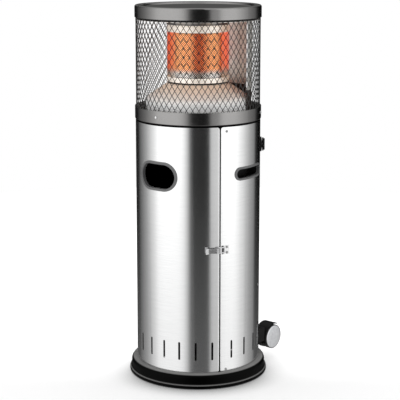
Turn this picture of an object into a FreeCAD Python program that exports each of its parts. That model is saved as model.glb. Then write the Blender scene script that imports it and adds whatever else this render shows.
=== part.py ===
import FreeCAD, Part
import math
import os

import Sketcher
from FreeCAD import Placement, Rotation, Vector

# A patio heater. A drum shaped steel cabinet on a black pressed base holds the gas bottle.
# On top of it a burner heats a perforated emitter, inside a guard of expanded metal
# under a dished lid. The cabinet's front third is a hinged door with a toggle latch,
# and two twin wheel casters hang at the back, for tilting and rolling the heater.
#
# The origin is on the floor under the middle of the drum. The door faces the front, -Y.
# A bearing is an angle about Z, from the front towards +X. What sits on the drum's skin
# is drawn at the front, with -Y outwards, and is then turned to its bearing.

doc = FreeCAD.newDocument("PatioHeater")
dim = doc.addObject("Spreadsheet::Sheet", "dim")

# Every driving dimension, in millimetres or degrees.
SIZES = [
    # base
    ("base_height", 44.0, "top of the base above the floor"),
    ("base_wall_radius", 212.0, "outside of the base wall"),
    ("base_gauge", 1.5, "steel of the base"),
    ("base_shoulder", 12.5, "round between wall and top of the base"),
    ("foot_radius", 218.0, "outside of the foot bead"),
    ("foot_height", 9.0, "height of the foot bead's widest part"),
    ("foot_flare", 6.0, "height over which the wall flares to the bead"),
    ("foot_round", 3.0, "round of the foot bead"),
    ("drain_radius", 10.0, "radius of a gas drain hole in the base"),
    ("drain_circle", 110.0, "radius of the circle of drain holes"),
    ("drain_count", 6, "number of drain holes"),
    # drum
    ("body_radius", 193.4, "outside of the drum"),
    ("body_height", 759.6, "height of the drum's sheets"),
    ("shell_gauge", 1.0, "stainless sheet of the drum"),
    ("sheet_corner", 7.0, "rounded corners of the drum's sheets"),
    ("seam_bearing", 60.2, "bearing of the seams beside the door"),
    ("seam_gap", 4.5, "width of the seams"),
    ("fit_gap", 0.3, "gap between parts that nearly touch"),
    # vents
    ("vent_width", 6.5, "width of a vent slot"),
    ("vent_length", 57.0, "length of a vent slot"),
    ("vent_rise", 39.9, "bottom of the vent slots above the base"),
    ("vent_step", 15.2, "bearing step of the vents in the door"),
    ("door_vents", 8, "number of vents in the door"),
    ("rear_vent_step", 15.4, "bearing step of the vents in the rear shell"),
    ("rear_vents", 15, "number of vents in the rear shell"),
    # posts and door stiffeners
    ("post_gauge", 1.2, "steel of the posts and the deck"),
    ("post_lip", 2.7, "bearing by which the latch post reaches behind the door"),
    ("post_span", 7.8, "bearing from the seam to the far edge of a post"),
    ("post_leg", 14.0, "depth of a post's inward leg"),
    ("stiffener_depth", 9.0, "depth of a door stiffener"),
    ("stiffener_height", 12.0, "height of a door stiffener"),
    ("stiffener_bearing", 50.0, "bearing at which a door stiffener ends"),
    ("stiffener_low", 8.0, "lower stiffener above the base"),
    ("stiffener_high", 45.0, "upper stiffener's top below the drum's top"),
    # hinge
    ("hinge_inset", 1.4, "hinge axis inside the drum's skin"),
    ("knuckle_radius", 2.0, "outside of a hinge knuckle"),
    ("hinge_pin_radius", 1.0, "hinge pin"),
    ("pin_clearance", 0.05, "running clearance of a pin"),
    ("leaf_gauge", 0.8, "sheet of the hinge leaves"),
    ("leaf_width", 15.0, "reach of a hinge leaf from the axis"),
    ("knuckle_length", 40.0, "length of a hinge knuckle"),
    ("knuckle_gap", 0.4, "end gap between hinge knuckles"),
    ("knuckle_count", 16, "number of hinge knuckles"),
    ("hinge_start", 50.0, "bottom of the hinge above the base"),
    # door access hole
    ("access_rise", 606.8, "centre of the access hole above the base"),
    ("access_width", 128.0, "clear width of the access hole"),
    ("access_height", 74.0, "clear height of the access hole"),
    ("access_flange", 7.5, "flange of the access bezel around its hole"),
    # handles
    ("handle_bearing", 96.0, "bearing of a handle hole"),
    ("handle_rise", 613.0, "centre of a handle hole above the base"),
    ("handle_width", 128.0, "clear width of a handle hole"),
    ("handle_height", 28.5, "clear height of a handle hole"),
    ("handle_flange", 6.0, "flange of a handle bezel around its hole"),
    ("bezel_wall", 2.5, "wall of a bezel's collar"),
    ("bezel_proud", 3.0, "how far a bezel's flange stands off the skin"),
    ("bezel_collar", 8.0, "how far a bezel's collar reaches inside the skin"),
    ("bezel_fit", 0.2, "clearance of a bezel in its hole"),
    # toggle latch
    ("latch_bearing", 58.7, "bearing of the latch lever's pivot"),
    ("latch_rise", 385.5, "centre of the latch above the base"),
    ("lever_pivot_height", 6.8, "lever pivot above the skin"),
    ("hook_pivot_back", 8.0, "hook pivot behind the lever pivot"),
    ("hook_pivot_height", 4.2, "hook pivot above the skin"),
    ("lever_pin_radius", 1.5, "lever's pivot pin"),
    ("hook_pin_radius", 1.2, "hook's pivot pin"),
    ("eye_wall", 0.8, "metal around a latch pin"),
    ("latch_gauge", 1.4, "steel of the latch's cheeks and lever"),
    ("cheek_gap", 8.0, "space between the base cheeks"),
    ("cheek_clearance", 0.5, "side clearance between the latch's cheeks"),
    ("lever_reach", 30.0, "lever from its pivot to its lip"),
    ("lever_fall", 4.3, "fall of the lever's back from the hook pivot to the lip"),
    ("lip_length", 13.0, "length of the lever's lip"),
    ("lip_rise", 3.0, "rise of the lever's lip"),
    ("lip_width", 17.5, "width of the lever's lip"),
    ("latch_base_length", 30.0, "length of the latch's base plate"),
    ("latch_base_width", 18.0, "width of the latch's base plate"),
    ("hook_width", 20.0, "width of the hook plate"),
    ("hook_reach", 20.3, "hook's far end beyond the lever pivot"),
    ("hook_gauge", 1.2, "steel of the hook plate"),
    ("hook_fall", 2.9, "fall of the hook from its pivot to its far end"),
    ("notch_end", 4.5, "hook's notch for the lever, beyond the lever pivot"),
    ("window_start", 10.7, "hook's window beyond the lever pivot"),
    ("window_width", 7.0, "width of the hook's window"),
    ("window_height", 12.5, "height of the hook's window"),
    ("keeper_length", 24.0, "length of the keeper plate"),
    ("keeper_width", 26.0, "width of the keeper plate"),
    ("keeper_gauge", 1.0, "steel of the keeper"),
    ("tongue_height", 3.4, "keeper's tongue above the skin's tangent plane"),
    ("tongue_width", 9.0, "width of the keeper's tongue"),
    ("keeper_rivet_bearing", 66.9, "bearing of the keeper's rivets"),
    ("keeper_rivet_pitch", 17.0, "distance between the keeper's rivets"),
    # rivets
    ("rivet_radius", 2.0, "rivet shank"),
    ("rivet_head_radius", 4.0, "rivet head"),
    ("rivet_head_height", 1.4, "rivet head above what it holds"),
    ("seam_rivet_bearing", 66.4, "bearing of the rivets beside the seams"),
    ("low_rivet_rise", 7.0, "low seam rivets above the base"),
    ("high_rivet_drop", 12.6, "high seam rivets below the drum's top"),
    ("side_rivet_bearing", 116.5, "bearing of the side rivets"),
    ("side_rivet_rise", 241.0, "side rivets above the base"),
    # deck, ring and guard
    ("deck_skirt", 31.6, "deck's skirt below the drum's top"),
    ("deck_bore", 45.0, "hole in the middle of the deck"),
    ("shadow_gap", 6.2, "deck's height above the drum's top"),
    ("ring_radius", 195.2, "outside of the guard ring"),
    ("ring_height", 38.0, "height of the guard ring"),
    ("ring_gauge", 1.2, "sheet of the guard ring"),
    ("ring_flange", 10.0, "guard ring's inward flange"),
    ("ring_screw_count", 3, "number of screws in the guard ring"),
    ("ring_screw_radius", 4.2, "head of a guard ring screw"),
    ("ring_screw_height", 2.2, "head height of a guard ring screw"),
    ("guard_radius", 192.1, "outside of the guard"),
    ("guard_gauge", 1.2, "sheet of the guard"),
    ("guard_opening", 271.8, "open height between ring and lid"),
    ("guard_tuck", 20.0, "guard's reach inside the lid"),
    ("guard_cells", 33, "diamond gaps around the guard"),
    ("guard_rows", 9, "staggered rows of diamond gaps"),
    ("guard_strand", 3.6, "width of a guard strand"),
    # lid
    ("lid_radius", 194.5, "outside of the lid"),
    ("lid_height", 37.0, "height of the lid's band"),
    ("lid_gauge", 1.5, "sheet of the lid"),
    ("lid_rim", 20.0, "width of the lid's raised rim"),
    ("lid_dish", 8.0, "depth of the lid's dished top"),
    ("lid_round", 6.0, "round of the lid's rim"),
    ("liner_rise", 7.6, "liner's underside below the lid's lower edge, inwards"),
    ("liner_radius", 188.0, "heat liner under the lid"),
    ("liner_gauge", 1.2, "sheet of the heat liner"),
    ("spacer_radius", 5.0, "spacers between liner and lid"),
    ("spacer_circle", 120.0, "circle of the spacers"),
    ("spacer_count", 3, "number of spacers"),
    # burner and emitter
    ("reflector_radius", 165.8, "outside of the rear reflector"),
    ("reflector_gauge", 0.8, "sheet of the rear reflector"),
    ("reflector_bearing", 103.5, "bearing at which the reflector ends"),
    ("reflector_height", 211.0, "height of the rear reflector"),
    ("skirt_radius", 161.3, "outside of the burner skirt"),
    ("skirt_gauge", 1.0, "sheet of the burner skirt"),
    ("skirt_height", 109.0, "height of the burner skirt"),
    ("skirt_slope", 45.0, "height of the skirt's cone"),
    ("skirt_round", 18.0, "round of the skirt's shoulder"),
    ("skirt_mouth", 93.0, "hole in the top of the burner skirt"),
    ("stand_radius", 60.0, "tube that carries the burner cup"),
    ("stand_height", 86.7, "height of the burner stand"),
    ("stand_window", 14.0, "radius of the stand's air windows"),
    ("stand_windows", 6, "number of air windows in the stand"),
    ("cup_radius", 75.0, "outside of the burner cup"),
    ("cup_height", 27.0, "height of the burner cup"),
    ("cup_gauge", 1.5, "steel of the burner cup"),
    ("cup_bore", 22.0, "gas inlet in the burner cup's floor"),
    ("emitter_radius", 95.0, "outside of the perforated emitter"),
    ("emitter_gauge", 1.0, "sheet of the emitter"),
    ("emitter_height", 173.5, "height of the emitter"),
    ("flame_radius", 72.0, "outside of the inner flame tube"),
    ("flame_height", 169.0, "height of the flame tube"),
    ("cap_radius", 96.5, "flange of the emitter's cap"),
    ("cap_crown", 88.0, "crown of the emitter's cap"),
    ("cap_gauge", 1.5, "steel of the emitter's cap"),
    ("mixer_radius", 16.0, "outside of the mixer tube"),
    ("mixer_gauge", 1.2, "wall of the mixer tube"),
    ("mixer_flange", 26.0, "flange of the mixer tube"),
    ("mixer_drop", 7.8, "mixer tube's lower end below the deck's top"),
    ("injector_radius", 7.0, "injector's brass body"),
    ("injector_length", 20.0, "length of the injector"),
    ("injector_bore", 1.0, "gas bore of the injector"),
    ("injector_flange", 6.0, "height of the injector's flange"),
    # gas train
    ("knob_bearing", 132.0, "bearing of the control knob"),
    ("knob_rise", 680.0, "centre of the control knob above the base"),
    ("valve_depth", 9.4, "valve's face inside the skin"),
    ("valve_length", 34.0, "radial length of the valve body"),
    ("valve_width", 32.0, "width of the valve body"),
    ("valve_height", 36.0, "height of the valve body"),
    ("valve_spine", 26.4, "gas ways inside the skin, up and down the valve"),
    ("bracket_gauge", 2.0, "steel of the valve bracket"),
    ("bracket_width", 60.0, "width of the valve bracket"),
    ("bracket_height", 68.0, "height of the valve bracket"),
    ("pipe_radius", 4.0, "outside of the feed pipe"),
    ("pipe_bend", 14.0, "bend radius of the feed pipe"),
    ("pipe_drop", 22.0, "level run of the feed pipe below the injector"),
    ("nipple_radius", 6.0, "inlet nipple for the gas hose"),
    ("nipple_length", 26.0, "length of the inlet nipple"),
    ("nipple_bore", 2.5, "bore of the inlet nipple"),
    ("igniter_width", 12.0, "width of the piezo igniter"),
    ("igniter_depth", 16.0, "depth of the piezo igniter"),
    ("igniter_height", 40.0, "height of the piezo igniter"),
    ("electrode_radius", 3.0, "ceramic of the spark electrode"),
    ("electrode_length", 45.0, "length of the spark electrode"),
    ("electrode_bearing", 120.0, "bearing of the spark electrode"),
    ("probe_radius", 2.2, "thermocouple probe"),
    ("probe_length", 55.0, "length of the thermocouple probe"),
    ("probe_bearing", 150.0, "bearing of the thermocouple"),
    ("probe_circle", 84.0, "circle of electrode and thermocouple"),
    ("switch_width", 34.0, "width of the tilt switch"),
    ("switch_depth", 22.0, "depth of the tilt switch"),
    ("switch_height", 26.0, "height of the tilt switch"),
    ("switch_back", 170.0, "back of the tilt switch behind the axis"),
    # knob
    ("knob_radius", 21.0, "radius of the control knob"),
    ("knob_depth", 7.0, "depth of the control knob"),
    ("knob_grip", 4.5, "half width of the knob's grip bar"),
    ("knob_travel", 3.0, "push travel of the knob"),
    ("bezel_radius", 23.0, "radius of the knob's bezel"),
    ("knob_bezel_depth", 4.0, "thickness of the knob's bezel"),
    ("spindle_radius", 3.5, "valve spindle"),
    ("spindle_clearance", 0.1, "clearance of the spindle in valve and knob"),
    ("spindle_tail", 12.0, "spindle's reach inside the valve"),
    # casters
    ("caster_offset", 114.0, "caster's middle beside the centre line"),
    ("axle_back", 222.0, "wheel axle behind the drum's axis"),
    ("axle_height", 73.7, "wheel axle above the floor"),
    ("caster_trail", 14.0, "swivel axis above the wheel axle"),
    ("wheel_radius", 39.0, "caster wheel"),
    ("wheel_width", 16.0, "width of a caster wheel"),
    ("wheel_gap", 12.0, "space between the twin wheels"),
    ("wheel_recess", 3.0, "depth of the wheel's recess under its cap"),
    ("wheel_rim", 2.2, "rim of the wheel around its cap"),
    ("cap_dome", 2.0, "how far the wheel cap stands out"),
    ("axle_radius", 3.0, "caster axle"),
    ("hood_radius", 46.0, "outside of the caster's hood"),
    ("hood_gauge", 3.2, "wall of the caster's hood"),
    ("hood_width", 44.0, "width of the caster's hood"),
    ("hood_start", 66.0, "angle of the hood's rear end above level, about the axle"),
    ("hood_end", 196.0, "angle of the hood's lower front end, about the axle"),
    ("web_width", 10.4, "middle web of the caster"),
    ("hub_radius", 8.0, "hub of the caster's web"),
    ("stem_radius", 4.0, "caster stem"),
    ("socket_radius", 8.0, "stem's socket, which passes through the drum's sheet"),
    ("socket_length", 30.0, "length of the stem's socket from the bracket's face"),
    ("stem_boss", 9.5, "boss around the stem in the web"),
    ("caster_bracket_width", 40.0, "width of a caster bracket"),
    ("caster_bracket_height", 46.0, "height of a caster bracket"),
    ("caster_bracket_lift", 6.0, "bracket's middle above the swivel axis"),
    ("caster_gap", 0.7, "gap between a caster's hood and its bracket"),
]


def fill_sheet():
    """Write each size to the sheet, with its name and meaning."""
    for row, (alias, size, meaning) in enumerate(SIZES, start=1):
        dim.set(f"A{row}", meaning)
        dim.set(f"B{row}", str(size))
        dim.setAlias(f"B{row}", alias)
    doc.recompute()


fill_sheet()

# Levels, radii and bearings that several pieces share.
SKIN = "dim.body_radius"
SHEET_IN = "(dim.body_radius - dim.shell_gauge)"
BASE_TOP = "dim.base_height"
DRUM_TOP = "(dim.base_height + dim.body_height)"
SKIRT_LOW = f"({DRUM_TOP} - dim.deck_skirt)"
DECK_TOP = f"({DRUM_TOP} + dim.shadow_gap)"
RING_TOP = f"({DECK_TOP} + dim.ring_height)"
LID_LOW = f"({RING_TOP} + dim.guard_opening)"
LID_TOP = f"({LID_LOW} + dim.lid_height)"
LINER_LOW = f"({LID_LOW} - dim.liner_rise)"
LINER_TOP = f"({LINER_LOW} + dim.liner_gauge)"
CUP_LOW = f"({DECK_TOP} + dim.stand_height)"
CUP_TOP = f"({CUP_LOW} + dim.cup_height)"
EMITTER_TOP = f"({CUP_TOP} + dim.emitter_height)"
MIXER_LOW = f"({DECK_TOP} - dim.mixer_drop)"
INJECTOR_LOW = f"({MIXER_LOW} - dim.injector_length)"
SEAM_HALF = "(dim.seam_gap / 2 / dim.body_radius * 180 / pi)"
SHELL_BEARING = f"(dim.seam_bearing + {SEAM_HALF})"
DOOR_BEARING = f"(dim.seam_bearing - {SEAM_HALF})"
POST_OUT = f"({SHEET_IN} - dim.fit_gap)"
POST_IN = f"({POST_OUT} - dim.post_gauge)"
KNOB_LEVEL = "(dim.base_height + dim.knob_rise)"
LATCH_LEVEL = "(dim.base_height + dim.latch_rise)"
VALVE_FACE = "(dim.body_radius - dim.valve_depth)"
STEM_LEVEL = "(dim.axle_height + dim.caster_trail)"
BRACKET_FACE = "(dim.axle_back - dim.hood_radius - dim.caster_gap)"

parts = {}


def number(text):
    """Work out an expression on the sheet as a plain number."""
    return float(dim.evalExpression(text))


def keep(obj, label):
    """Name a finished sub-part."""
    obj.Label = label
    parts[label] = obj
    return obj


def bind(obj, **sizes):
    """Tie properties of an object to expressions on the sheet."""
    for name, text in sizes.items():
        obj.setExpression(name.replace("__", "."), text)
    return obj


def turn_to(obj, bearing):
    """Turn a piece that is drawn at the front to its bearing."""
    obj.Placement = Placement(Vector(), Rotation(Vector(0, 0, 1), number(bearing)))
    obj.setExpression("Placement.Rotation.Angle", bearing)
    return obj


def point_out(obj, bearing, distance, level):
    """Lay a turned piece on its side, with its axis pointing out at a bearing."""
    place = (f"create(<<vector>>; {distance} * sin({bearing}); "
             f"-({distance}) * cos({bearing}); {level})")
    turn = f"create(<<rotation>>; {bearing}; 0; 90)"
    obj.setExpression("Placement", f"create(<<placement>>; {place}; {turn})")
    return obj


# Sketches


def new_sketch(body, role, turn=None):
    """Add a sketch on one of the body's own planes, turned about Z if asked."""
    sketch = body.newObject("Sketcher::SketchObject", f"{body.Name}_sketch")
    plane = next(f for f in body.Origin.OriginFeatures if f.Role == role)
    sketch.AttachmentSupport = (plane, [""])
    sketch.MapMode = "FlatFace"
    if turn:
        spin = Rotation(Vector(0, 1, 0), number(turn))
        sketch.AttachmentOffset = Placement(Vector(), spin)
        sketch.setExpression("AttachmentOffset.Rotation.Angle", turn)
    return sketch


def pin_point(sketch, geometry, vertex, x, y):
    """Fix one point of a sketch at bound distances from its origin."""
    for kind, text in (("DistanceX", x), ("DistanceY", y)):
        rule = Sketcher.Constraint(kind, -1, 1, geometry, vertex, number(text))
        index = sketch.addConstraint(rule)
        sketch.setExpression(f"Constraints[{index}]", text)


def fix_radius(sketch, geometry, radius):
    """Bind the radius of an arc or circle."""
    index = sketch.addConstraint(Sketcher.Constraint("Radius", geometry, number(radius)))
    sketch.setExpression(f"Constraints[{index}]", radius)


def corner_arc(before, corner, after, radius):
    """Give the arc that rounds a corner, and whether it runs along the outline."""
    back = (before - corner).normalize()
    onward = (after - corner).normalize()
    half = back.getAngle(onward) / 2
    run = radius / math.tan(half)
    centre = corner + (back + onward).normalize() * (radius / math.sin(half))
    leave = corner + back * run - centre
    meet = corner + onward * run - centre
    forward = back.cross(onward).z < 0
    first, last = (leave, meet) if forward else (meet, leave)
    low = math.atan2(first.y, first.x)
    high = math.atan2(last.y, last.x)
    if high < low:
        high += 2 * math.pi
    circle = Part.Circle(centre, Vector(0, 0, 1), radius)
    return Part.ArcOfCircle(circle, low, high), forward, corner + back * run, corner + onward * run


def draw_outline(sketch, corners):
    """Draw a closed outline through (x, y) or rounded (x, y, radius) corners."""
    count = len(corners)
    points = [Vector(number(c[0]), number(c[1]), 0) for c in corners]
    arrive = list(points)
    leave = list(points)
    arcs = {}
    for i, corner in enumerate(corners):
        if len(corner) == 3:
            before = points[i - 1]
            after = points[(i + 1) % count]
            arc, forward, arrive[i], leave[i] = corner_arc(before, points[i], after, number(corner[2]))
            arcs[i] = (arc, forward)
    lines = []
    for i in range(count):
        line = Part.LineSegment(leave[i], arrive[(i + 1) % count])
        lines.append(sketch.addGeometry(line, False))
    for i, corner in enumerate(corners):
        arriving = lines[i - 1]
        leaving = lines[i]
        if i not in arcs:
            sketch.addConstraint(Sketcher.Constraint("Coincident", arriving, 2, leaving, 1))
            pin_point(sketch, leaving, 1, corner[0], corner[1])
            continue
        arc, forward = arcs[i]
        bend = sketch.addGeometry(arc, False)
        start, end = (1, 2) if forward else (2, 1)
        sketch.addConstraint(Sketcher.Constraint("Tangent", arriving, 2, bend, start))
        sketch.addConstraint(Sketcher.Constraint("Tangent", bend, end, leaving, 1))
        apex = sketch.addGeometry(Part.Point(points[i]), True)
        pin_point(sketch, apex, 1, corner[0], corner[1])
        sketch.addConstraint(Sketcher.Constraint("PointOnObject", apex, 1, arriving))
        sketch.addConstraint(Sketcher.Constraint("PointOnObject", apex, 1, leaving))
        fix_radius(sketch, bend, corner[2])


def draw_circle(sketch, x, y, radius):
    """Draw a circle at a bound centre."""
    centre = Vector(number(x), number(y), 0)
    circle = sketch.addGeometry(Part.Circle(centre, Vector(0, 0, 1), number(radius)), False)
    pin_point(sketch, circle, 3, x, y)
    fix_radius(sketch, circle, radius)


def draw_slot(sketch, x, y, length, width, upright=False):
    """Draw a slot with round ends about its centre."""
    reach = f"(({length}) - ({width})) / 2"
    half = number(width) / 2
    along = Vector(0, 1, 0) if upright else Vector(1, 0, 0)
    centre = Vector(number(x), number(y), 0)
    lead = math.atan2(along.y, along.x)
    ends = []
    for side in (1, -1):
        middle = centre + along * (side * number(reach))
        start = lead - math.pi / 2 if side > 0 else lead + math.pi / 2
        circle = Part.Circle(middle, Vector(0, 0, 1), half)
        ends.append(sketch.addGeometry(Part.ArcOfCircle(circle, start, start + math.pi), False))
    far, near = ends
    far_end = sketch.getPoint(far, 2)
    near_start = sketch.getPoint(near, 1)
    near_end = sketch.getPoint(near, 2)
    far_start = sketch.getPoint(far, 1)
    upper = sketch.addGeometry(Part.LineSegment(far_end, near_start), False)
    lower = sketch.addGeometry(Part.LineSegment(near_end, far_start), False)
    sketch.addConstraint(Sketcher.Constraint("Tangent", far, 2, upper, 1))
    sketch.addConstraint(Sketcher.Constraint("Tangent", upper, 2, near, 1))
    sketch.addConstraint(Sketcher.Constraint("Tangent", near, 2, lower, 1))
    sketch.addConstraint(Sketcher.Constraint("Tangent", lower, 2, far, 1))
    for geometry, sign in ((far, "+"), (near, "-")):
        if upright:
            pin_point(sketch, geometry, 3, x, f"({y}) {sign} {reach}")
        else:
            pin_point(sketch, geometry, 3, f"({x}) {sign} {reach}", y)
    fix_radius(sketch, far, f"({width}) / 2")


# Features


def new_body(label):
    """Start a named body."""
    return keep(doc.addObject("PartDesign::Body", f"{label}_body"), label)


def turned(label, corners, start=None, end=None):
    """Turn an outline of (radius, level) corners about Z, all round or between two bearings."""
    body = new_body(label)
    lathe(body, corners, start, end)
    return body


def lathe(body, corners, start=None, end=None):
    """Add a turned feature to a body."""
    turn = f"({start}) - 90" if start else None
    sketch = new_sketch(body, "XZ_Plane", turn)
    draw_outline(sketch, corners)
    feature = body.newObject("PartDesign::Revolution", f"{body.Name}_turn")
    feature.Profile = sketch
    feature.ReferenceAxis = (sketch, ["V_Axis"])
    feature.Angle = 360
    if start:
        feature.setExpression("Angle", f"({end}) - ({start})")
    doc.recompute()
    return feature


def add_pad(body, sketch, length, symmetric=False, reverse=False):
    """Pad a sketch."""
    pad = body.newObject("PartDesign::Pad", f"{body.Name}_pad")
    pad.Profile = sketch
    if symmetric:
        pad.SideType = "Symmetric"
    pad.Reversed = reverse
    bind(pad, Length=length)
    doc.recompute()
    return pad


def cut_pocket(body, sketch, length, symmetric=False):
    """Cut a sketch's shape outwards along the sketch's normal, and check that it cuts."""
    before = body.Shape.Volume
    pocket = body.newObject("PartDesign::Pocket", f"{body.Name}_pocket")
    pocket.Profile = sketch
    if symmetric:
        pocket.SideType = "Symmetric"
    pocket.Reversed = not symmetric
    bind(pocket, Length=length)
    doc.recompute()
    if body.Shape.Volume >= before:
        raise RuntimeError(f"{body.Label}: a pocket cuts nothing")
    return pocket


def repeat(body, feature, step, count):
    """Repeat a feature about Z at a bearing step."""
    pattern = body.newObject("PartDesign::PolarPattern", f"{body.Name}_pattern")
    pattern.Originals = [feature]
    axis = next(f for f in body.Origin.OriginFeatures if f.Role == "Z_Axis")
    pattern.Axis = (axis, [""])
    pattern.Mode = "Spacing"
    pattern.Offset = number(step)
    bind(pattern, Offset=step, Occurrences=count)
    body.Tip = pattern
    doc.recompute()
    return pattern


def radial_reach():
    """Length of a cut that starts on the axis and ends outside the drum."""
    return "dim.foot_radius * 1.2"


def round_sheet_corners(body):
    """Round the free corners of a curved sheet."""
    gauge = number("dim.shell_gauge")
    names = []
    for index, edge in enumerate(body.Shape.Edges, start=1):
        level = abs(edge.Vertexes[0].Z - edge.Vertexes[-1].Z) < 1e-6
        if level and abs(edge.Length - gauge) < 1e-4:
            names.append(f"Edge{index}")
    sheet = body.Tip
    fillet = body.newObject("PartDesign::Fillet", f"{body.Name}_corners")
    fillet.Base = (sheet, names)
    bind(fillet, Radius="dim.sheet_corner")
    body.Tip = fillet
    doc.recompute()


def rod(radius, length, x="0", y="0", z="0", along="Z"):
    """Make a cylinder from a point along an axis."""
    obj = doc.addObject("Part::Cylinder", "rod")
    turns = {
        "Z": Rotation(),
        "X": Rotation(Vector(0, 1, 0), 90),
        "Y": Rotation(Vector(1, 0, 0), -90),
    }
    obj.Placement = Placement(Vector(), turns[along])
    bind(obj, Radius=radius, Height=length)
    return bind(obj, Placement__Base__x=x, Placement__Base__y=y, Placement__Base__z=z)


def block(x, y, z, width, depth, height):
    """Make a box from its lowest corner."""
    obj = doc.addObject("Part::Box", "block")
    bind(obj, Length=width, Width=depth, Height=height)
    return bind(obj, Placement__Base__x=x, Placement__Base__y=y, Placement__Base__z=z)


def plate(corners, height, level):
    """Extrude an outline in the level plane, evenly about a level."""
    body = doc.addObject("PartDesign::Body", "plate")
    sketch = new_sketch(body, "XY_Plane")
    draw_outline(sketch, corners)
    add_pad(body, sketch, height, symmetric=True)
    return bind(body, Placement__Base__z=level)


def fuse(*shapes):
    """Join shapes into one solid."""
    obj = doc.addObject("Part::MultiFuse", "joined")
    obj.Shapes = list(shapes)
    obj.Refine = True
    return obj


def cut(base, *tools):
    """Cut tools out of a shape."""
    tool = tools[0]
    if len(tools) > 1:
        tool = group(*tools)
    obj = doc.addObject("Part::Cut", "trimmed")
    obj.Base = base
    obj.Tool = tool
    return obj


def overlap(*shapes):
    """Keep what shapes have in common."""
    obj = doc.addObject("Part::MultiCommon", "common")
    obj.Shapes = list(shapes)
    return obj


def group(*shapes):
    """Hold separate solids together as one sub-part."""
    obj = doc.addObject("Part::Compound", "group")
    obj.Links = list(shapes)
    return obj


# Base


def make_base_pan():
    """Pressed steel base: a wide low pan upside down, with a foot bead and gas drains."""
    inner = "(dim.base_wall_radius - dim.base_gauge)"
    under = "(dim.base_height - dim.base_gauge)"
    inner_round = "(dim.base_shoulder - dim.base_gauge)"
    body = turned("base_pan", [
        ("0", under),
        (inner, under, inner_round),
        (inner, "0"),
        ("dim.foot_radius", "0", "dim.foot_round"),
        ("dim.foot_radius", "dim.foot_height", "dim.foot_round"),
        ("dim.base_wall_radius", "dim.foot_height + dim.foot_flare"),
        ("dim.base_wall_radius", "dim.base_height", "dim.base_shoulder"),
        ("0", "dim.base_height"),
    ])
    sketch = new_sketch(body, "XY_Plane")
    draw_circle(sketch, "dim.drain_circle", "0", "dim.drain_radius")
    drain = cut_pocket(body, sketch, "dim.base_height * 2")
    repeat(body, drain, "360 / dim.drain_count", "dim.drain_count")


# Drum


def curved_sheet(label, start, end):
    """Roll one sheet of the drum between two bearings."""
    body = turned(label, [
        (SHEET_IN, BASE_TOP),
        (SKIN, BASE_TOP),
        (SKIN, DRUM_TOP),
        (SHEET_IN, DRUM_TOP),
    ], start, end)
    round_sheet_corners(body)
    return body


def cut_vents(body, first, step, count):
    """Punch a row of upright vent slots near the bottom of a sheet."""
    sketch = new_sketch(body, "XZ_Plane", first)
    middle = "dim.base_height + dim.vent_rise + dim.vent_length / 2"
    draw_slot(sketch, "0", middle, "dim.vent_length", "dim.vent_width", upright=True)
    vent = cut_pocket(body, sketch, radial_reach())
    repeat(body, vent, step, count)


def cut_rounded_hole(body, bearing, rise, width, height):
    """Cut the hole for a bezel, with the collar's wall and a clearance around it."""
    sketch = new_sketch(body, "XZ_Plane", bearing)
    grow = "2 * (dim.bezel_wall + dim.bezel_fit)"
    draw_slot(sketch, "0", f"dim.base_height + {rise}", f"{width} + {grow}", f"{height} + {grow}")
    cut_pocket(body, sketch, radial_reach())


def cut_round_hole(body, bearing, level, radius):
    """Drill a round hole through a sheet at a bearing."""
    sketch = new_sketch(body, "XZ_Plane", bearing)
    draw_circle(sketch, "0", level, radius)
    cut_pocket(body, sketch, radial_reach())


def rivet_places():
    """List each rivet of the drum as its bearing and level."""
    low = "(dim.base_height + dim.low_rivet_rise)"
    high = f"({DRUM_TOP} - dim.high_rivet_drop)"
    side = "(dim.base_height + dim.side_rivet_rise)"
    places = []
    for sign in ("", "-"):
        places.append((f"({sign}dim.seam_rivet_bearing)", low))
        places.append((f"({sign}dim.seam_rivet_bearing)", high))
        places.append((f"({sign}dim.side_rivet_bearing)", side))
    return places


def keeper_rivet_places():
    """List the keeper's two rivets as bearing and level."""
    half = "dim.keeper_rivet_pitch / 2"
    return [("dim.keeper_rivet_bearing", f"({LATCH_LEVEL} {sign} {half})") for sign in "+-"]


def make_rear_shell():
    """Rear two thirds of the drum, with vents, handle holes, knob hole and rivet holes."""
    body = curved_sheet("rear_shell", SHELL_BEARING, f"360 - {SHELL_BEARING}")
    first = "180 - (dim.rear_vents - 1) / 2 * dim.rear_vent_step"
    cut_vents(body, first, "dim.rear_vent_step", "dim.rear_vents")
    for sign in ("", "-"):
        bearing = f"({sign}dim.handle_bearing)"
        cut_rounded_hole(body, bearing, "dim.handle_rise", "dim.handle_width", "dim.handle_height")
    hole = "dim.rivet_radius + dim.pin_clearance"
    for bearing, level in rivet_places() + keeper_rivet_places():
        cut_round_hole(body, bearing, level, hole)
    knob_hole = "dim.spindle_radius + 2 * dim.fit_gap"
    cut_round_hole(body, "dim.knob_bearing", KNOB_LEVEL, knob_hole)
    sketch = new_sketch(body, "XZ_Plane", "180")
    for sign in ("", "-"):
        draw_circle(sketch, f"{sign}dim.caster_offset", STEM_LEVEL, "dim.socket_radius + dim.fit_gap")
    cut_pocket(body, sketch, radial_reach())


def make_door_panel():
    """Front third of the drum, a door with vents and the access hole."""
    body = curved_sheet("door_panel", f"(-{DOOR_BEARING})", DOOR_BEARING)
    first = "-(dim.door_vents - 1) / 2 * dim.vent_step"
    cut_vents(body, first, "dim.vent_step", "dim.door_vents")
    cut_rounded_hole(body, "0", "dim.access_rise", "dim.access_width", "dim.access_height")


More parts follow.
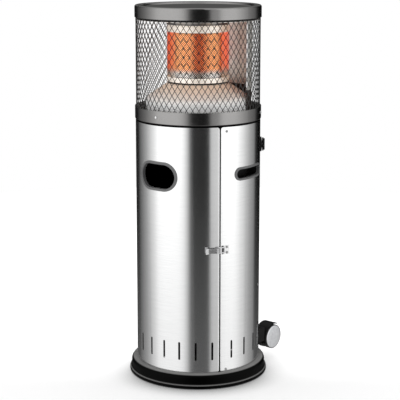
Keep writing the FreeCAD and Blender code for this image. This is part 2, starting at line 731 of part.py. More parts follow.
def make_posts():
    """Upright steel posts inside the seams. The latch side one also stops the door."""
    rise = BASE_TOP
    top = SKIRT_LOW
    leg_in = f"({POST_OUT} - dim.post_leg)"
    strip = [(POST_IN, rise), (POST_OUT, rise), (POST_OUT, top), (POST_IN, top)]
    leg = [(leg_in, rise), (POST_OUT, rise), (POST_OUT, top), (leg_in, top)]
    far = "(dim.seam_bearing + dim.post_span)"
    leg_width = f"(dim.post_gauge / {POST_OUT} * 180 / pi)"
    near = "(dim.seam_bearing - dim.post_lip)"
    hinge_side = f"(-({SHELL_BEARING} + dim.fit_gap / {POST_OUT} * 180 / pi))"
    latch_post = turned("latch_post", strip, near, far)
    lathe(latch_post, leg, f"({far} - {leg_width})", far)
    hinge_post = turned("hinge_post", strip, f"(-{far})", hinge_side)
    lathe(hinge_post, leg, f"(-{far})", f"(-({far} - {leg_width}))")
    hole = "dim.rivet_radius + dim.pin_clearance"
    low = "(dim.base_height + dim.low_rivet_rise)"
    cut_round_hole(latch_post, "dim.seam_rivet_bearing", low, hole)
    cut_round_hole(hinge_post, "(-dim.seam_rivet_bearing)", low, hole)
    half = "dim.keeper_rivet_pitch / 2"
    for sign in "+-":
        cut_round_hole(latch_post, "dim.keeper_rivet_bearing", f"({LATCH_LEVEL} {sign} {half})", hole)


def make_door_stiffeners():
    """Two rolled ribs inside the door, above the base and under the deck's skirt."""
    low = "dim.base_height + dim.stiffener_low"
    high = f"{DRUM_TOP} - dim.stiffener_high - dim.stiffener_height"
    inner = f"({POST_OUT} - dim.stiffener_depth)"
    ribs = []
    for level in (low, high):
        body = doc.addObject("PartDesign::Body", "rib")
        lathe(body, [
            (inner, level),
            (POST_OUT, level),
            (POST_OUT, f"{level} + dim.stiffener_height"),
            (inner, f"{level} + dim.stiffener_height"),
        ], "(-dim.stiffener_bearing)", "dim.stiffener_bearing")
        ribs.append(body)
    keep(group(*ribs), "door_stiffeners")


# Hinge


HINGE_AXIS = "(dim.body_radius - dim.hinge_inset)"


def hinge_leaf(side, outer, first):
    """Make a hinge leaf: a rolled strip with knuckles. Side is "-" on the shell's side."""
    total = "(dim.knuckle_count * dim.knuckle_length - dim.knuckle_gap)"
    bottom = "(dim.base_height + dim.hinge_start)"
    inner = f"({outer} - dim.leaf_gauge)"
    near = f"({side}(dim.knuckle_radius + 2 * dim.fit_gap) / {outer} * 180 / pi)"
    far = f"({side}dim.leaf_width / {outer} * 180 / pi)"
    start, end = (far, near) if side == "-" else (near, far)
    strip = doc.addObject("PartDesign::Body", "leaf_strip")
    lathe(strip, [
        (inner, bottom),
        (outer, bottom),
        (outer, f"{bottom} + {total}"),
        (inner, f"{bottom} + {total}"),
    ], start, end)
    pieces = [strip]
    reach = "(dim.knuckle_radius + 3 * dim.fit_gap)"
    for index in range(first, int(number("dim.knuckle_count")), 2):
        level = f"(dim.base_height + dim.hinge_start + {index} * dim.knuckle_length)"
        length = "(dim.knuckle_length - dim.knuckle_gap)"
        tab_left = f"(-{reach})" if side == "-" else "0"
        pieces.append(rod("dim.knuckle_radius", length, "0", f"(-{HINGE_AXIS})", level))
        pieces.append(block(tab_left, f"(-{outer})", level, reach, "dim.leaf_gauge", length))
    bore = rod("(dim.hinge_pin_radius + dim.pin_clearance)", total, "0", f"(-{HINGE_AXIS})", bottom)
    return cut(fuse(*pieces), bore)


def make_hinge():
    """Long piano hinge in the seam on the left of the door."""
    bearing = "(-dim.seam_bearing)"
    under_post = f"({POST_IN} - dim.fit_gap / 3)"
    under_door = f"({SHEET_IN} - dim.fit_gap / 3)"
    keep(turn_to(hinge_leaf("-", under_post, 0), bearing), "hinge_leaf_fixed")
    keep(turn_to(hinge_leaf("", under_door, 1), bearing), "hinge_leaf_door")
    total = "(dim.knuckle_count * dim.knuckle_length - dim.knuckle_gap)"
    bottom = "(dim.base_height + dim.hinge_start)"
    pin = rod("dim.hinge_pin_radius", total, "0", f"(-{HINGE_AXIS})", bottom)
    keep(turn_to(group(pin), bearing), "hinge_pin")


# Bezels


def skin_band(inner, outer, level, height):
    """Make a short tube about Z that a curved piece is trimmed to."""
    low = f"({level}) - ({height}) / 2"
    return cut(rod(outer, height, "0", "0", low), rod(inner, height, "0", "0", low))


def slot_ring(width, height, level, wall):
    """Extrude a ring between two slots, from the axis out through the front."""
    body = doc.addObject("PartDesign::Body", "slot_ring")
    sketch = new_sketch(body, "XZ_Plane")
    draw_slot(sketch, "0", level, f"{width} + 2 * {wall}", f"{height} + 2 * {wall}")
    draw_slot(sketch, "0", level, width, height)
    add_pad(body, sketch, radial_reach())
    return body


def make_bezel(label, bearing, rise, width, height, flange):
    """Make a moulded bezel: a flange on the skin and a collar through the sheet."""
    level = f"(dim.base_height + {rise})"
    tall = f"({height} + 4 * {flange})"
    gap = "dim.fit_gap / 3"
    outer = f"({SKIN} + dim.bezel_proud)"
    front = overlap(slot_ring(width, height, level, flange), skin_band(f"{SKIN} + {gap}", outer, level, tall))
    back = f"({SKIN} - dim.bezel_collar)"
    middle = f"({SKIN} + dim.bezel_proud / 2)"
    collar = overlap(slot_ring(width, height, level, "dim.bezel_wall"), skin_band(back, middle, level, tall))
    bezel = fuse(front, collar)
    keep(turn_to(bezel, bearing), label)


def make_bezels():
    """Bezels of the access hole in the door and of the two handle holes."""
    make_bezel("access_bezel", "0", "dim.access_rise", "dim.access_width", "dim.access_height",
               "dim.access_flange")
    for side, sign in (("right", ""), ("left", "-")):
        make_bezel(f"handle_bezel_{side}", f"({sign}dim.handle_bearing)", "dim.handle_rise",
                   "dim.handle_width", "dim.handle_height", "dim.handle_flange")


# Toggle latch


def out(height):
    """Give the y of a point above the skin's tangent plane at the front."""
    return f"(-(dim.body_radius + {height}))"


def cheeks(corners, inner_gap, gauge):
    """Make a pair of upright cheeks, an outline each side of the latch's middle."""
    outer = plate(corners, f"({inner_gap} + 2 * {gauge})", LATCH_LEVEL)
    space = plate([(x, y) for x, y, *_ in spaced(corners)], inner_gap, LATCH_LEVEL)
    return cut(outer, space)


def spaced(corners):
    """Give a plain rectangle well around an outline."""
    wide = "dim.body_radius"
    return [
        (f"(-{wide})", out(f"{wide}")),
        (wide, out(f"{wide}")),
        (wide, "0"),
        (f"(-{wide})", "0"),
    ]


def sole(left, right, width, gauge):
    """Make a plate that lies on the skin around the latch."""
    low = f"({SKIN} + dim.fit_gap / 3)"
    flat = plate([
        (left, "0"),
        (right, "0"),
        (right, out("dim.body_radius")),
        (left, out("dim.body_radius")),
    ], width, LATCH_LEVEL)
    return overlap(flat, skin_band(low, f"({low} + {gauge})", LATCH_LEVEL, width))


def make_latch_base():
    """Base of the latch: a curved plate on the door with two cheeks for the lever's pin."""
    eye = "(dim.lever_pin_radius + dim.eye_wall)"
    top = f"(dim.lever_pivot_height + {eye})"
    foot = out("0.5")
    ears = cheeks([
        (f"(-2 * {eye})", foot),
        (eye, foot),
        (eye, out(top), f"{eye} * 0.95"),
        (f"(-{eye})", out(top), f"{eye} * 0.95"),
        (f"(-1.2 * {eye})", out("dim.lever_pivot_height")),
    ], "dim.cheek_gap", "dim.latch_gauge")
    hole = latch_pin("dim.lever_pin_radius + dim.pin_clearance", "0", "dim.lever_pivot_height",
                     "dim.latch_base_width")
    flat = sole(f"({eye} - dim.latch_base_length)", eye, "dim.latch_base_width", "dim.latch_gauge")
    base = cut(fuse(flat, ears), hole)
    keep(turn_to(base, "dim.latch_bearing"), "latch_base")


def latch_pin(radius, x, height, length):
    """Make an upright pin across the latch."""
    return rod(radius, length, x, out(height), f"({LATCH_LEVEL} - ({length}) / 2)")


LEVER_WIDTH = "(dim.cheek_gap + 4 * dim.latch_gauge + 2 * dim.cheek_clearance)"


def make_latch_lever():
    """Lever of the latch: a channel with cheeks outside the base's, ending in a raised lip."""
    eye = "(dim.lever_pin_radius + dim.eye_wall)"
    hook_x = "(-dim.hook_pivot_back)"
    under = f"(dim.lever_pivot_height + {eye} + dim.fit_gap / 2)"
    over = f"({under} + dim.latch_gauge)"
    end = "(-dim.lever_reach)"
    low = f"({under} - dim.lever_fall)"
    back = plate([
        ("0", out(under)),
        ("0", out(over), "0.6"),
        (hook_x, out(over)),
        (end, out(f"({over} - dim.lever_fall)")),
        (end, out(low)),
        (hook_x, out(under)),
    ], LEVER_WIDTH, LATCH_LEVEL)
    tip = f"({end} - dim.lip_length)"
    dip = f"({end} - dim.lip_length / 4)"
    high = f"({low} + dim.lip_rise)"
    lip = plate([
        (end, out(low)),
        (end, out(f"({low} + dim.latch_gauge)")),
        (dip, out(f"({low} + dim.latch_gauge - 0.5)"), "2"),
        (tip, out(f"({high} + dim.latch_gauge)"), "0.6"),
        (tip, out(high), "0.5"),
        (dip, out(f"({low} - 0.5)"), "3"),
    ], "dim.lip_width", LATCH_LEVEL)
    inner = f"({LEVER_WIDTH} - 2 * dim.latch_gauge)"
    toe = "(dim.hook_pin_radius + dim.eye_wall)"
    heel = out(f"(dim.hook_pivot_height - {toe})")
    sides = cheeks([
        (eye, out(f"(dim.lever_pivot_height - {eye})"), f"{eye} * 0.9"),
        (eye, out(f"(dim.lever_pivot_height + {eye} / 2)"), "1"),
        ("0", out(f"({under} + 0.5)")),
        (hook_x, out(f"({under} + 0.5)")),
        (f"({hook_x} * 2)", out(f"({under} - 0.8)")),
        (f"({hook_x} - {toe})", heel, f"{toe} * 0.9"),
        (f"({hook_x} + {toe})", heel, f"{toe} * 0.9"),
    ], inner, "dim.latch_gauge")
    wide = "dim.lip_width"
    pivot = latch_pin("dim.lever_pin_radius + dim.pin_clearance", "0", "dim.lever_pivot_height", wide)
    joint = latch_pin("dim.hook_pin_radius + dim.pin_clearance", hook_x, "dim.hook_pivot_height", wide)
    lever = cut(fuse(back, lip, sides), pivot, joint)
    keep(turn_to(lever, "dim.latch_bearing"), "latch_lever")


def make_latch_hook():
    """Hook of the latch: a forked plate that straddles the lever, with a window for the tongue."""
    hook_x = "(-dim.hook_pivot_back)"
    half = "dim.hook_gauge / 2"
    low_end = "(dim.hook_pivot_height - dim.hook_fall)"
    blade = plate([
        (hook_x, out(f"(dim.hook_pivot_height - {half})")),
        (hook_x, out(f"(dim.hook_pivot_height + {half})")),
        ("dim.hook_reach", out(f"({low_end} + {half})"), "0.4"),
        ("dim.hook_reach", out(f"({low_end} - {half})")),
    ], "dim.hook_width", LATCH_LEVEL)
    eye = "(dim.hook_pin_radius + dim.eye_wall)"
    eyes = latch_pin(eye, hook_x, "dim.hook_pivot_height", "dim.hook_width")
    bore = latch_pin("dim.hook_pin_radius + dim.pin_clearance", hook_x, "dim.hook_pivot_height",
                     "dim.hook_width")
    straddle = f"({LEVER_WIDTH} + 2 * dim.cheek_clearance)"
    deep = "dim.body_radius"
    notch = block(f"(2 * {hook_x})", out(deep), f"({LATCH_LEVEL} - {straddle} / 2)",
                  f"(dim.notch_end - 2 * {hook_x})", deep, straddle)
    window = block("dim.window_start", out(deep), f"({LATCH_LEVEL} - dim.window_height / 2)",
                   "dim.window_width", f"(2 * {deep})", "dim.window_height")
    hook = cut(fuse(blade, eyes), bore, notch, window)
    keep(turn_to(hook, "dim.latch_bearing"), "latch_hook")


def make_latch_pins():
    """Pivot pins of lever and hook."""
    length = LEVER_WIDTH
    pivot = latch_pin("dim.lever_pin_radius", "0", "dim.lever_pivot_height", length)
    keep(turn_to(group(pivot), "dim.latch_bearing"), "latch_pivot_pin")
    joint = latch_pin("dim.hook_pin_radius", "(-dim.hook_pivot_back)", "dim.hook_pivot_height",
                      "dim.hook_width")
    keep(turn_to(group(joint), "dim.latch_bearing"), "hook_pin")


def make_latch_keeper():
    """Keeper on the rear shell: a riveted curved plate with a low upright tongue."""
    start = "(dim.window_start + dim.fit_gap * 2)"
    end = f"({start} + dim.keeper_length)"
    flat = sole(start, end, "dim.keeper_width", "dim.keeper_gauge")
    tongue = plate([
        (start, out("(dim.keeper_gauge / -2)")),
        (f"({start} + dim.keeper_gauge)", out("(dim.keeper_gauge / -2)")),
        (f"({start} + dim.keeper_gauge)", out("dim.tongue_height")),
        (start, out("dim.tongue_height")),
    ], "dim.tongue_width", LATCH_LEVEL)
    cuts = [rod(f"({SKIN} + dim.fit_gap / 3)", "dim.keeper_width * 2", "0", "0",
                f"({LATCH_LEVEL} - dim.keeper_width)")]
    offset = "(dim.keeper_rivet_bearing - dim.latch_bearing)"
    for sign in "+-":
        hole = doc.addObject("Part::Cylinder", "rivet_hole")
        bind(hole, Radius="dim.rivet_radius + dim.pin_clearance", Height="dim.foot_radius")
        point_out(hole, offset, "0", f"({LATCH_LEVEL} {sign} dim.keeper_rivet_pitch / 2)")
        cuts.append(hole)
    keeper = cut(fuse(flat, tongue), *cuts)
    keep(turn_to(keeper, "dim.latch_bearing"), "latch_keeper")


# Fasteners


def rivet(bearing, level, seat, depth):
    """Make a dome headed rivet on a seat at a radius, with its shank going in to a depth."""
    body = doc.addObject("PartDesign::Body", "rivet")
    head = "dim.rivet_head_height"
    lathe(body, [
        ("0", f"-({depth})"),
        ("dim.rivet_radius", f"-({depth})"),
        ("dim.rivet_radius", "0"),
        ("dim.rivet_head_radius", "0"),
        ("dim.rivet_head_radius", f"{head} * 0.4"),
        ("dim.rivet_head_radius * 0.6", head),
        ("0", head),
    ])
    return point_out(body, bearing, seat, level)


def make_shell_rivets():
    """Rivets of the seams, the sides and the keeper, all alike."""
    seat = f"({SKIN} + dim.fit_gap / 3)"
    depth = "(dim.shell_gauge + dim.post_gauge + 2 * dim.fit_gap)"
    solids = [rivet(bearing, level, seat, depth) for bearing, level in rivet_places()]
    plate_top = f"({seat} + dim.keeper_gauge + dim.fit_gap / 3)"
    deep = f"({depth} + dim.keeper_gauge)"
    for bearing, level in keeper_rivet_places():
        solids.append(rivet(bearing, level, plate_top, deep))
    keep(group(*solids), "shell_rivets")


def make_ring_screws():
    """Three bright pan head screws in the guard ring."""
    level = f"({DECK_TOP} + dim.ring_height / 2)"
    screws = []
    for index in range(int(number("dim.ring_screw_count"))):
        body = doc.addObject("PartDesign::Body", "screw")
        shank = "(dim.ring_radius - dim.guard_radius - dim.fit_gap)"
        lathe(body, [
            ("0", f"-{shank}"),
            ("dim.rivet_radius", f"-{shank}"),
            ("dim.rivet_radius", "0"),
            ("dim.ring_screw_radius", "0"),
            ("dim.ring_screw_radius", "dim.ring_screw_height", "dim.ring_screw_height * 0.7"),
            ("0", "dim.ring_screw_height"),
        ])
        bearing = f"({index} * 360 / dim.ring_screw_count)"
        screws.append(point_out(body, bearing, "dim.ring_radius", level))
    keep(group(*screws), "ring_screws")


# Deck, ring, guard and lid


def make_deck_plate():
    """Pressed deck that closes the drum and carries the burner, the ring and the guard."""
    skirt_out = f"({POST_OUT} - dim.fit_gap)"
    skirt_in = f"({skirt_out} - dim.post_gauge)"
    under = f"({DECK_TOP} - dim.post_gauge)"
    body = turned("deck_plate", [
        (skirt_in, SKIRT_LOW),
        (skirt_out, SKIRT_LOW),
        (skirt_out, DECK_TOP, "dim.post_gauge * 1.5"),
        ("dim.deck_bore", DECK_TOP),
        ("dim.deck_bore", under),
        (skirt_in, under, "dim.post_gauge / 2"),
    ])
    hole = "dim.rivet_radius + dim.pin_clearance"
    high = f"({DRUM_TOP} - dim.high_rivet_drop)"
    for sign in ("", "-"):
        cut_round_hole(body, f"({sign}dim.seam_rivet_bearing)", high, hole)


def make_guard_ring():
    """Band around the foot of the guard, with an inward flange on the deck."""
    inner = "(dim.ring_radius - dim.ring_gauge)"
    floor = f"({DECK_TOP} + dim.ring_gauge)"
    body = turned("guard_ring", [
        ("dim.ring_radius - dim.ring_flange", DECK_TOP),
        ("dim.ring_radius", DECK_TOP, "dim.ring_gauge * 1.2"),
        ("dim.ring_radius", RING_TOP),
        (inner, RING_TOP),
        (inner, floor, "dim.ring_gauge / 4"),
        ("dim.ring_radius - dim.ring_flange", floor),
    ])
    sketch = new_sketch(body, "XZ_Plane")
    hole = "dim.rivet_radius + dim.pin_clearance"
    draw_circle(sketch, "0", f"{DECK_TOP} + dim.ring_height / 2", hole)
    holes = cut_pocket(body, sketch, radial_reach())
    repeat(body, holes, "360 / dim.ring_screw_count", "dim.ring_screw_count")


def make_guard_mesh():
    """Guard of expanded metal: a thin tube with staggered rows of diamond gaps."""
    outer = number("dim.guard_radius")
    inner = outer - number("dim.guard_gauge")
    low = number(f"{DECK_TOP} + dim.ring_gauge")
    high = number(f"{LID_LOW} + dim.guard_tuck")
    strand = number("dim.guard_strand")
    cells = int(number("dim.guard_cells"))
    rows = int(number("dim.guard_rows"))
    tube = Part.makeCylinder(outer, high - low, Vector(0, 0, low))
    tube = tube.cut(Part.makeCylinder(inner, high - low, Vector(0, 0, low)))
    cell_width = 2 * math.pi * outer / cells
    row_step = (high - low - 2 * strand) / (rows + 1)
    slant = math.hypot(cell_width / 2, row_step)
    half_width = cell_width / 2 - strand / 2 * slant / row_step
    half_height = row_step - strand / 2 * slant / (cell_width / 2)
    diamond = Part.makePolygon([
        Vector(half_width, 0, 0),
        Vector(0, 0, half_height),
        Vector(-half_width, 0, 0),
        Vector(0, 0, -half_height),
        Vector(half_width, 0, 0),
    ])
    gap = Part.Face(diamond).extrude(Vector(0, -4 * (outer - inner), 0))
    gaps = []
    for row in range(rows):
        for cell in range(cells):
            one = gap.copy()
            one.translate(Vector(0, -inner + 2 * (outer - inner), low + strand + (row + 1) * row_step))
            turn = (cell + (row % 2) / 2) * 360 / cells
            one.rotate(Vector(), Vector(0, 0, 1), turn)
            gaps.append(one)
    mesh = doc.addObject("Part::Feature", "mesh")
    mesh.Shape = tube.cut(Part.makeCompound(gaps))
    keep(mesh, "guard_mesh")


def make_lid():
    """Lid with a deep band, a rounded rim and a dished top."""
    dish = f"({LID_TOP} - dim.lid_dish)"
    rim_in = "(dim.lid_radius - dim.lid_rim)"
    gauge = "dim.lid_gauge"
    turned("lid", [
        (f"dim.lid_radius - {gauge}", LID_LOW),
        ("dim.lid_radius", LID_LOW),
        ("dim.lid_radius", LID_TOP, "dim.lid_round"),
        (rim_in, LID_TOP, "dim.lid_round - 1"),
        (f"{rim_in} - dim.lid_dish / 2", dish, "dim.lid_round / 2"),
        ("0", dish),
        ("0", f"{dish} - {gauge}"),
        (f"{rim_in} - dim.lid_dish / 2 + {gauge}", f"{dish} - {gauge}", "dim.lid_round / 2"),
        (f"{rim_in} + {gauge}", f"{LID_TOP} - {gauge}", "dim.lid_round - 2"),
        (f"dim.lid_radius - {gauge}", f"{LID_TOP} - {gauge}", f"dim.lid_round - {gauge}"),
    ])


def make_lid_liner():
    """Flat heat liner under the lid, on spacers."""
    turned("lid_liner", [
        ("0", LINER_LOW),
        ("dim.liner_radius", LINER_LOW),
        ("dim.liner_radius", LINER_TOP),
        ("0", LINER_TOP),
    ])
    length = f"({LID_TOP} - dim.lid_dish - dim.lid_gauge - {LINER_TOP})"
    spacers = []
    for index in range(int(number("dim.spacer_count"))):
        angle = f"({index} * 360 / dim.spacer_count)"
        x = f"(dim.spacer_circle * cos({angle}))"
        y = f"(dim.spacer_circle * sin({angle}))"
        spacers.append(rod("dim.spacer_radius", length, x, y, LINER_TOP))
    keep(group(*spacers), "lid_spacers")


# Burner


def make_reflector():
    """Half round bright sheet behind the emitter, hung from the liner."""
    inner = "(dim.reflector_radius - dim.reflector_gauge)"
    low = f"({LINER_LOW} - dim.reflector_height)"
    turned("rear_reflector", [
        (inner, low),
        ("dim.reflector_radius", low),
        ("dim.reflector_radius", LINER_LOW),
        (inner, LINER_LOW),
    ], "dim.reflector_bearing", "360 - dim.reflector_bearing")


def make_burner_skirt():
    """Spun skirt around the burner: a straight wall, a round shoulder and a shallow cone."""
    top = f"({DECK_TOP} + dim.skirt_height)"
    shoulder = f"({top} - dim.skirt_slope)"
    inner = "(dim.skirt_radius - dim.skirt_gauge)"
    fall = "(dim.skirt_slope / (dim.skirt_radius - dim.skirt_mouth))"
    depth = f"(dim.skirt_gauge * sqrt(1 + {fall}^2))"
    turned("burner_skirt", [
        ("dim.skirt_mouth", top),
        ("dim.skirt_radius", shoulder, "dim.skirt_round"),
        ("dim.skirt_radius", DECK_TOP),
        (inner, DECK_TOP),
        (inner, f"{shoulder} + {fall} * dim.skirt_gauge - {depth}", "dim.skirt_round - dim.skirt_gauge"),
        ("dim.skirt_mouth", f"{top} - {depth}"),
    ])


def make_burner_stand():
    """Tube that carries the burner cup over the deck, with air windows."""
    inner = "(dim.stand_radius - dim.cup_gauge)"
    body = turned("burner_stand", [
        (inner, DECK_TOP),
        ("dim.stand_radius", DECK_TOP),
        ("dim.stand_radius", CUP_LOW),
        (inner, CUP_LOW),
    ])
    sketch = new_sketch(body, "XZ_Plane")
    draw_circle(sketch, "0", f"{DECK_TOP} + dim.stand_height / 2", "dim.stand_window")
    window = cut_pocket(body, sketch, radial_reach())
    repeat(body, window, "360 / dim.stand_windows", "dim.stand_windows")


def make_burner_cup():
    """Burner cup, whose floor takes the gas and whose flange carries the emitter."""
    inner = "(dim.cup_radius - dim.cup_gauge)"
    floor = f"({CUP_LOW} + dim.cup_gauge)"
    flange = f"({CUP_TOP} - dim.cup_gauge)"
    turned("burner_cup", [
        ("dim.cup_bore", CUP_LOW),
        ("dim.cup_radius", CUP_LOW, "dim.cup_gauge * 2"),
        ("dim.cup_radius", flange),
        ("dim.emitter_radius", flange),
        ("dim.emitter_radius", CUP_TOP),
        (inner, CUP_TOP),
        (inner, floor, "dim.cup_gauge"),
        ("dim.cup_bore", floor),
    ])


def make_flame_tube():
    """Closed inner tube that the flame burns around."""
    low = f"({CUP_LOW} + dim.cup_gauge)"
    top = f"({low} + dim.flame_height)"
    inner = "(dim.flame_radius - dim.emitter_gauge)"
    turned("flame_tube", [
        (inner, low),
        ("dim.flame_radius", low),
        ("dim.flame_radius", top, "dim.emitter_gauge * 3"),
        ("0", top),
        ("0", f"{top} - dim.emitter_gauge"),
        (inner, f"{top} - dim.emitter_gauge", "dim.emitter_gauge * 2"),
    ])


def make_emitter():
    """Emitter tube on the cup's flange, and the flanged cap that closes it."""
    inner = "(dim.emitter_radius - dim.emitter_gauge)"
    turned("emitter_screen", [
        (inner, CUP_TOP),
        ("dim.emitter_radius", CUP_TOP),
        ("dim.emitter_radius", EMITTER_TOP),
        (inner, EMITTER_TOP),
    ])
    crown_in = "(dim.cap_crown - dim.cap_gauge)"
    seat = f"({EMITTER_TOP} + dim.cap_gauge)"
    turned("emitter_cap", [
        (crown_in, EMITTER_TOP),
        ("dim.cap_radius", EMITTER_TOP),
        ("dim.cap_radius", seat),
        ("dim.cap_crown", seat),
        ("dim.cap_crown", LINER_LOW),
        ("0", LINER_LOW),
        ("0", f"{LINER_LOW} - dim.cap_gauge"),
        (crown_in, f"{LINER_LOW} - dim.cap_gauge"),
    ])


def make_mixer():
    """Mixer tube under the cup and the brass injector that blows into it."""
    bore = "(dim.mixer_radius - dim.mixer_gauge)"
    flange = f"({CUP_LOW} - dim.cup_gauge)"
    turned("mixer_tube", [
        (bore, MIXER_LOW),
        ("dim.mixer_radius", MIXER_LOW),
        ("dim.mixer_radius", flange),
        ("dim.mixer_flange", flange),
        ("dim.mixer_flange", CUP_LOW),
        (bore, CUP_LOW),
    ])
    collar = f"({MIXER_LOW} - dim.injector_flange)"
    turned("injector", [
        ("dim.injector_bore", INJECTOR_LOW),
        ("dim.injector_radius", INJECTOR_LOW, "0.8"),
        ("dim.injector_radius", collar),
        ("dim.mixer_radius", collar),
        ("dim.mixer_radius", MIXER_LOW),
        ("dim.injector_bore", MIXER_LOW),
    ])


def make_probes():
    """Spark electrode and thermocouple under the cup's flange."""
    top = f"({CUP_TOP} - dim.cup_gauge)"
    for label, radius, length, bearing in (
        ("spark_electrode", "dim.electrode_radius", "dim.electrode_length", "dim.electrode_bearing"),
        ("thermocouple", "dim.probe_radius", "dim.probe_length", "dim.probe_bearing"),
    ):
        body = turned(label, [
            ("0", f"{top} - {length}"),
            (f"{radius} * 0.4", f"{top} - {length}"),
            (f"{radius} * 0.4", f"{top} - {length} * 0.8"),
            (radius, f"{top} - {length} * 0.8"),
            (radius, top),
            ("0", top),
        ])
        x = f"dim.probe_circle * sin({bearing})"
        y = f"-dim.probe_circle * cos({bearing})"
        bind(body, Placement__Base__x=x, Placement__Base__y=y)


# Gas train


def make_valve():
    """Gas valve on its bracket, with the igniter beside it and the inlet nipple below."""
    low = f"({KNOB_LEVEL} - dim.valve_height / 2)"
    housing = block("(-dim.valve_width / 2)", f"(-{VALVE_FACE})", low, "dim.valve_width",
                    "dim.valve_length", "dim.valve_height")
    seat = rod("dim.spindle_radius + dim.spindle_clearance", "dim.spindle_tail + dim.knob_travel * 2",
               "0", f"(-{VALVE_FACE})", KNOB_LEVEL, along="Y")
    keep(turn_to(cut(housing, seat), "dim.knob_bearing"), "gas_valve")
    face = f"({VALVE_FACE} + dim.bracket_gauge)"
    half = "(dim.bracket_width / 2)"
    edge = f"(sqrt({SHEET_IN}^2 - {half}^2) - dim.fit_gap)"
    bracket = plate([
        (f"(-{half})", f"(-{VALVE_FACE})"),
        (half, f"(-{VALVE_FACE})"),
        (half, f"(-{edge})"),
        (f"({half} - dim.bracket_gauge)", f"(-{edge})"),
        (f"({half} - dim.bracket_gauge)", f"(-{face})"),
        (f"(dim.bracket_gauge - {half})", f"(-{face})"),
        (f"(dim.bracket_gauge - {half})", f"(-{edge})"),
        (f"(-{half})", f"(-{edge})"),
    ], "dim.bracket_height", KNOB_LEVEL)
    way = rod("dim.spindle_radius + 2 * dim.fit_gap", "dim.bracket_gauge * 4", "0",
              f"(-{VALVE_FACE} - dim.bracket_gauge * 2)", KNOB_LEVEL, along="Y")
    keep(turn_to(cut(bracket, way), "dim.knob_bearing"), "valve_bracket")
    igniter = block("(dim.valve_width / 2 + dim.fit_gap)", f"(-{VALVE_FACE})",
                    f"({KNOB_LEVEL} - dim.igniter_height / 2)", "dim.igniter_width",
                    "dim.igniter_depth", "dim.igniter_height")
    keep(turn_to(group(igniter), "dim.knob_bearing"), "piezo_igniter")
    nipple = turned("inlet_nipple", [
        ("dim.nipple_bore", f"{low} - dim.nipple_length"),
        ("dim.nipple_radius * 0.7", f"{low} - dim.nipple_length"),
        ("dim.nipple_radius * 0.7", f"{low} - dim.nipple_length * 0.4"),
        ("dim.nipple_radius", f"{low} - dim.nipple_length * 0.4"),
        ("dim.nipple_radius", low),
        ("dim.nipple_bore", low),
    ])
    spine = f"({SKIN} - dim.valve_spine)"
    bind(nipple, Placement__Base__x=f"{spine} * sin(dim.knob_bearing)",
         Placement__Base__y=f"-{spine} * cos(dim.knob_bearing)")


def make_feed_pipe():
    """Bent copper pipe from the valve's top to the injector."""
    body = new_body("feed_pipe")
    start = f"({KNOB_LEVEL} + dim.valve_height / 2)"
    level = f"({INJECTOR_LOW} - dim.pipe_drop)"
    spine_radius = f"({SKIN} - dim.valve_spine)"
    path = new_sketch(body, "YZ_Plane")
    first = Vector(-number(spine_radius), number(start), 0)
    knee = Vector(-number(spine_radius), number(level), 0)
    elbow = Vector(0, number(level), 0)
    last = Vector(0, number(INJECTOR_LOW), 0)
    bend = number("dim.pipe_bend")
    low_arc, low_forward, low_in, low_out = corner_arc(first, knee, elbow, bend)
    high_arc, high_forward, high_in, high_out = corner_arc(knee, elbow, last, bend)
    rise = path.addGeometry(Part.LineSegment(first, low_in), False)
    low_bend = path.addGeometry(low_arc, False)
    run = path.addGeometry(Part.LineSegment(low_out, high_in), False)
    high_bend = path.addGeometry(high_arc, False)
    drop = path.addGeometry(Part.LineSegment(high_out, last), False)
    joins = (
        (rise, low_bend, low_forward, run),
        (run, high_bend, high_forward, drop),
    )
    for arriving, arc, forward, leaving in joins:
        start_end = (1, 2) if forward else (2, 1)
        path.addConstraint(Sketcher.Constraint("Tangent", arriving, 2, arc, start_end[0]))
        path.addConstraint(Sketcher.Constraint("Tangent", arc, start_end[1], leaving, 1))
        fix_radius(path, arc, "dim.pipe_bend")
    path.addConstraint(Sketcher.Constraint("Vertical", rise))
    path.addConstraint(Sketcher.Constraint("Vertical", drop))
    path.addConstraint(Sketcher.Constraint("Horizontal", run))
    pin_point(path, rise, 1, f"-{spine_radius}", start)
    pin_point(path, drop, 2, "0", INJECTOR_LOW)
    height = path.addConstraint(Sketcher.Constraint("DistanceY", -1, 1, run, 1, number(level)))
    path.setExpression(f"Constraints[{height}]", level)
    ring = new_sketch(body, "XY_Plane")
    ring.AttachmentOffset = Placement(Vector(0, first.x, first.y), Rotation())
    bind(ring, AttachmentOffset__Base__y=f"-{spine_radius}", AttachmentOffset__Base__z=start)
    draw_circle(ring, "0", "0", "dim.pipe_radius")
    doc.recompute()
    pipe = body.newObject("PartDesign::AdditivePipe", "feed_pipe_sweep")
    pipe.Profile = ring
    pipe.Spine = (path, [])
    turn_to(body, "dim.knob_bearing")


def make_tilt_switch():
    """Tilt switch that cuts the gas, a small box on the base at the back."""
    switch = block("(-dim.switch_width / 2)", "(dim.switch_back - dim.switch_depth)", BASE_TOP,
                   "dim.switch_width", "dim.switch_depth", "dim.switch_height")
    keep(group(switch), "tilt_switch")


# Knob


BEZEL_FACE = f"({SKIN} + dim.knob_bezel_depth)"
KNOB_BACK = f"({BEZEL_FACE} + dim.knob_travel + dim.fit_gap)"


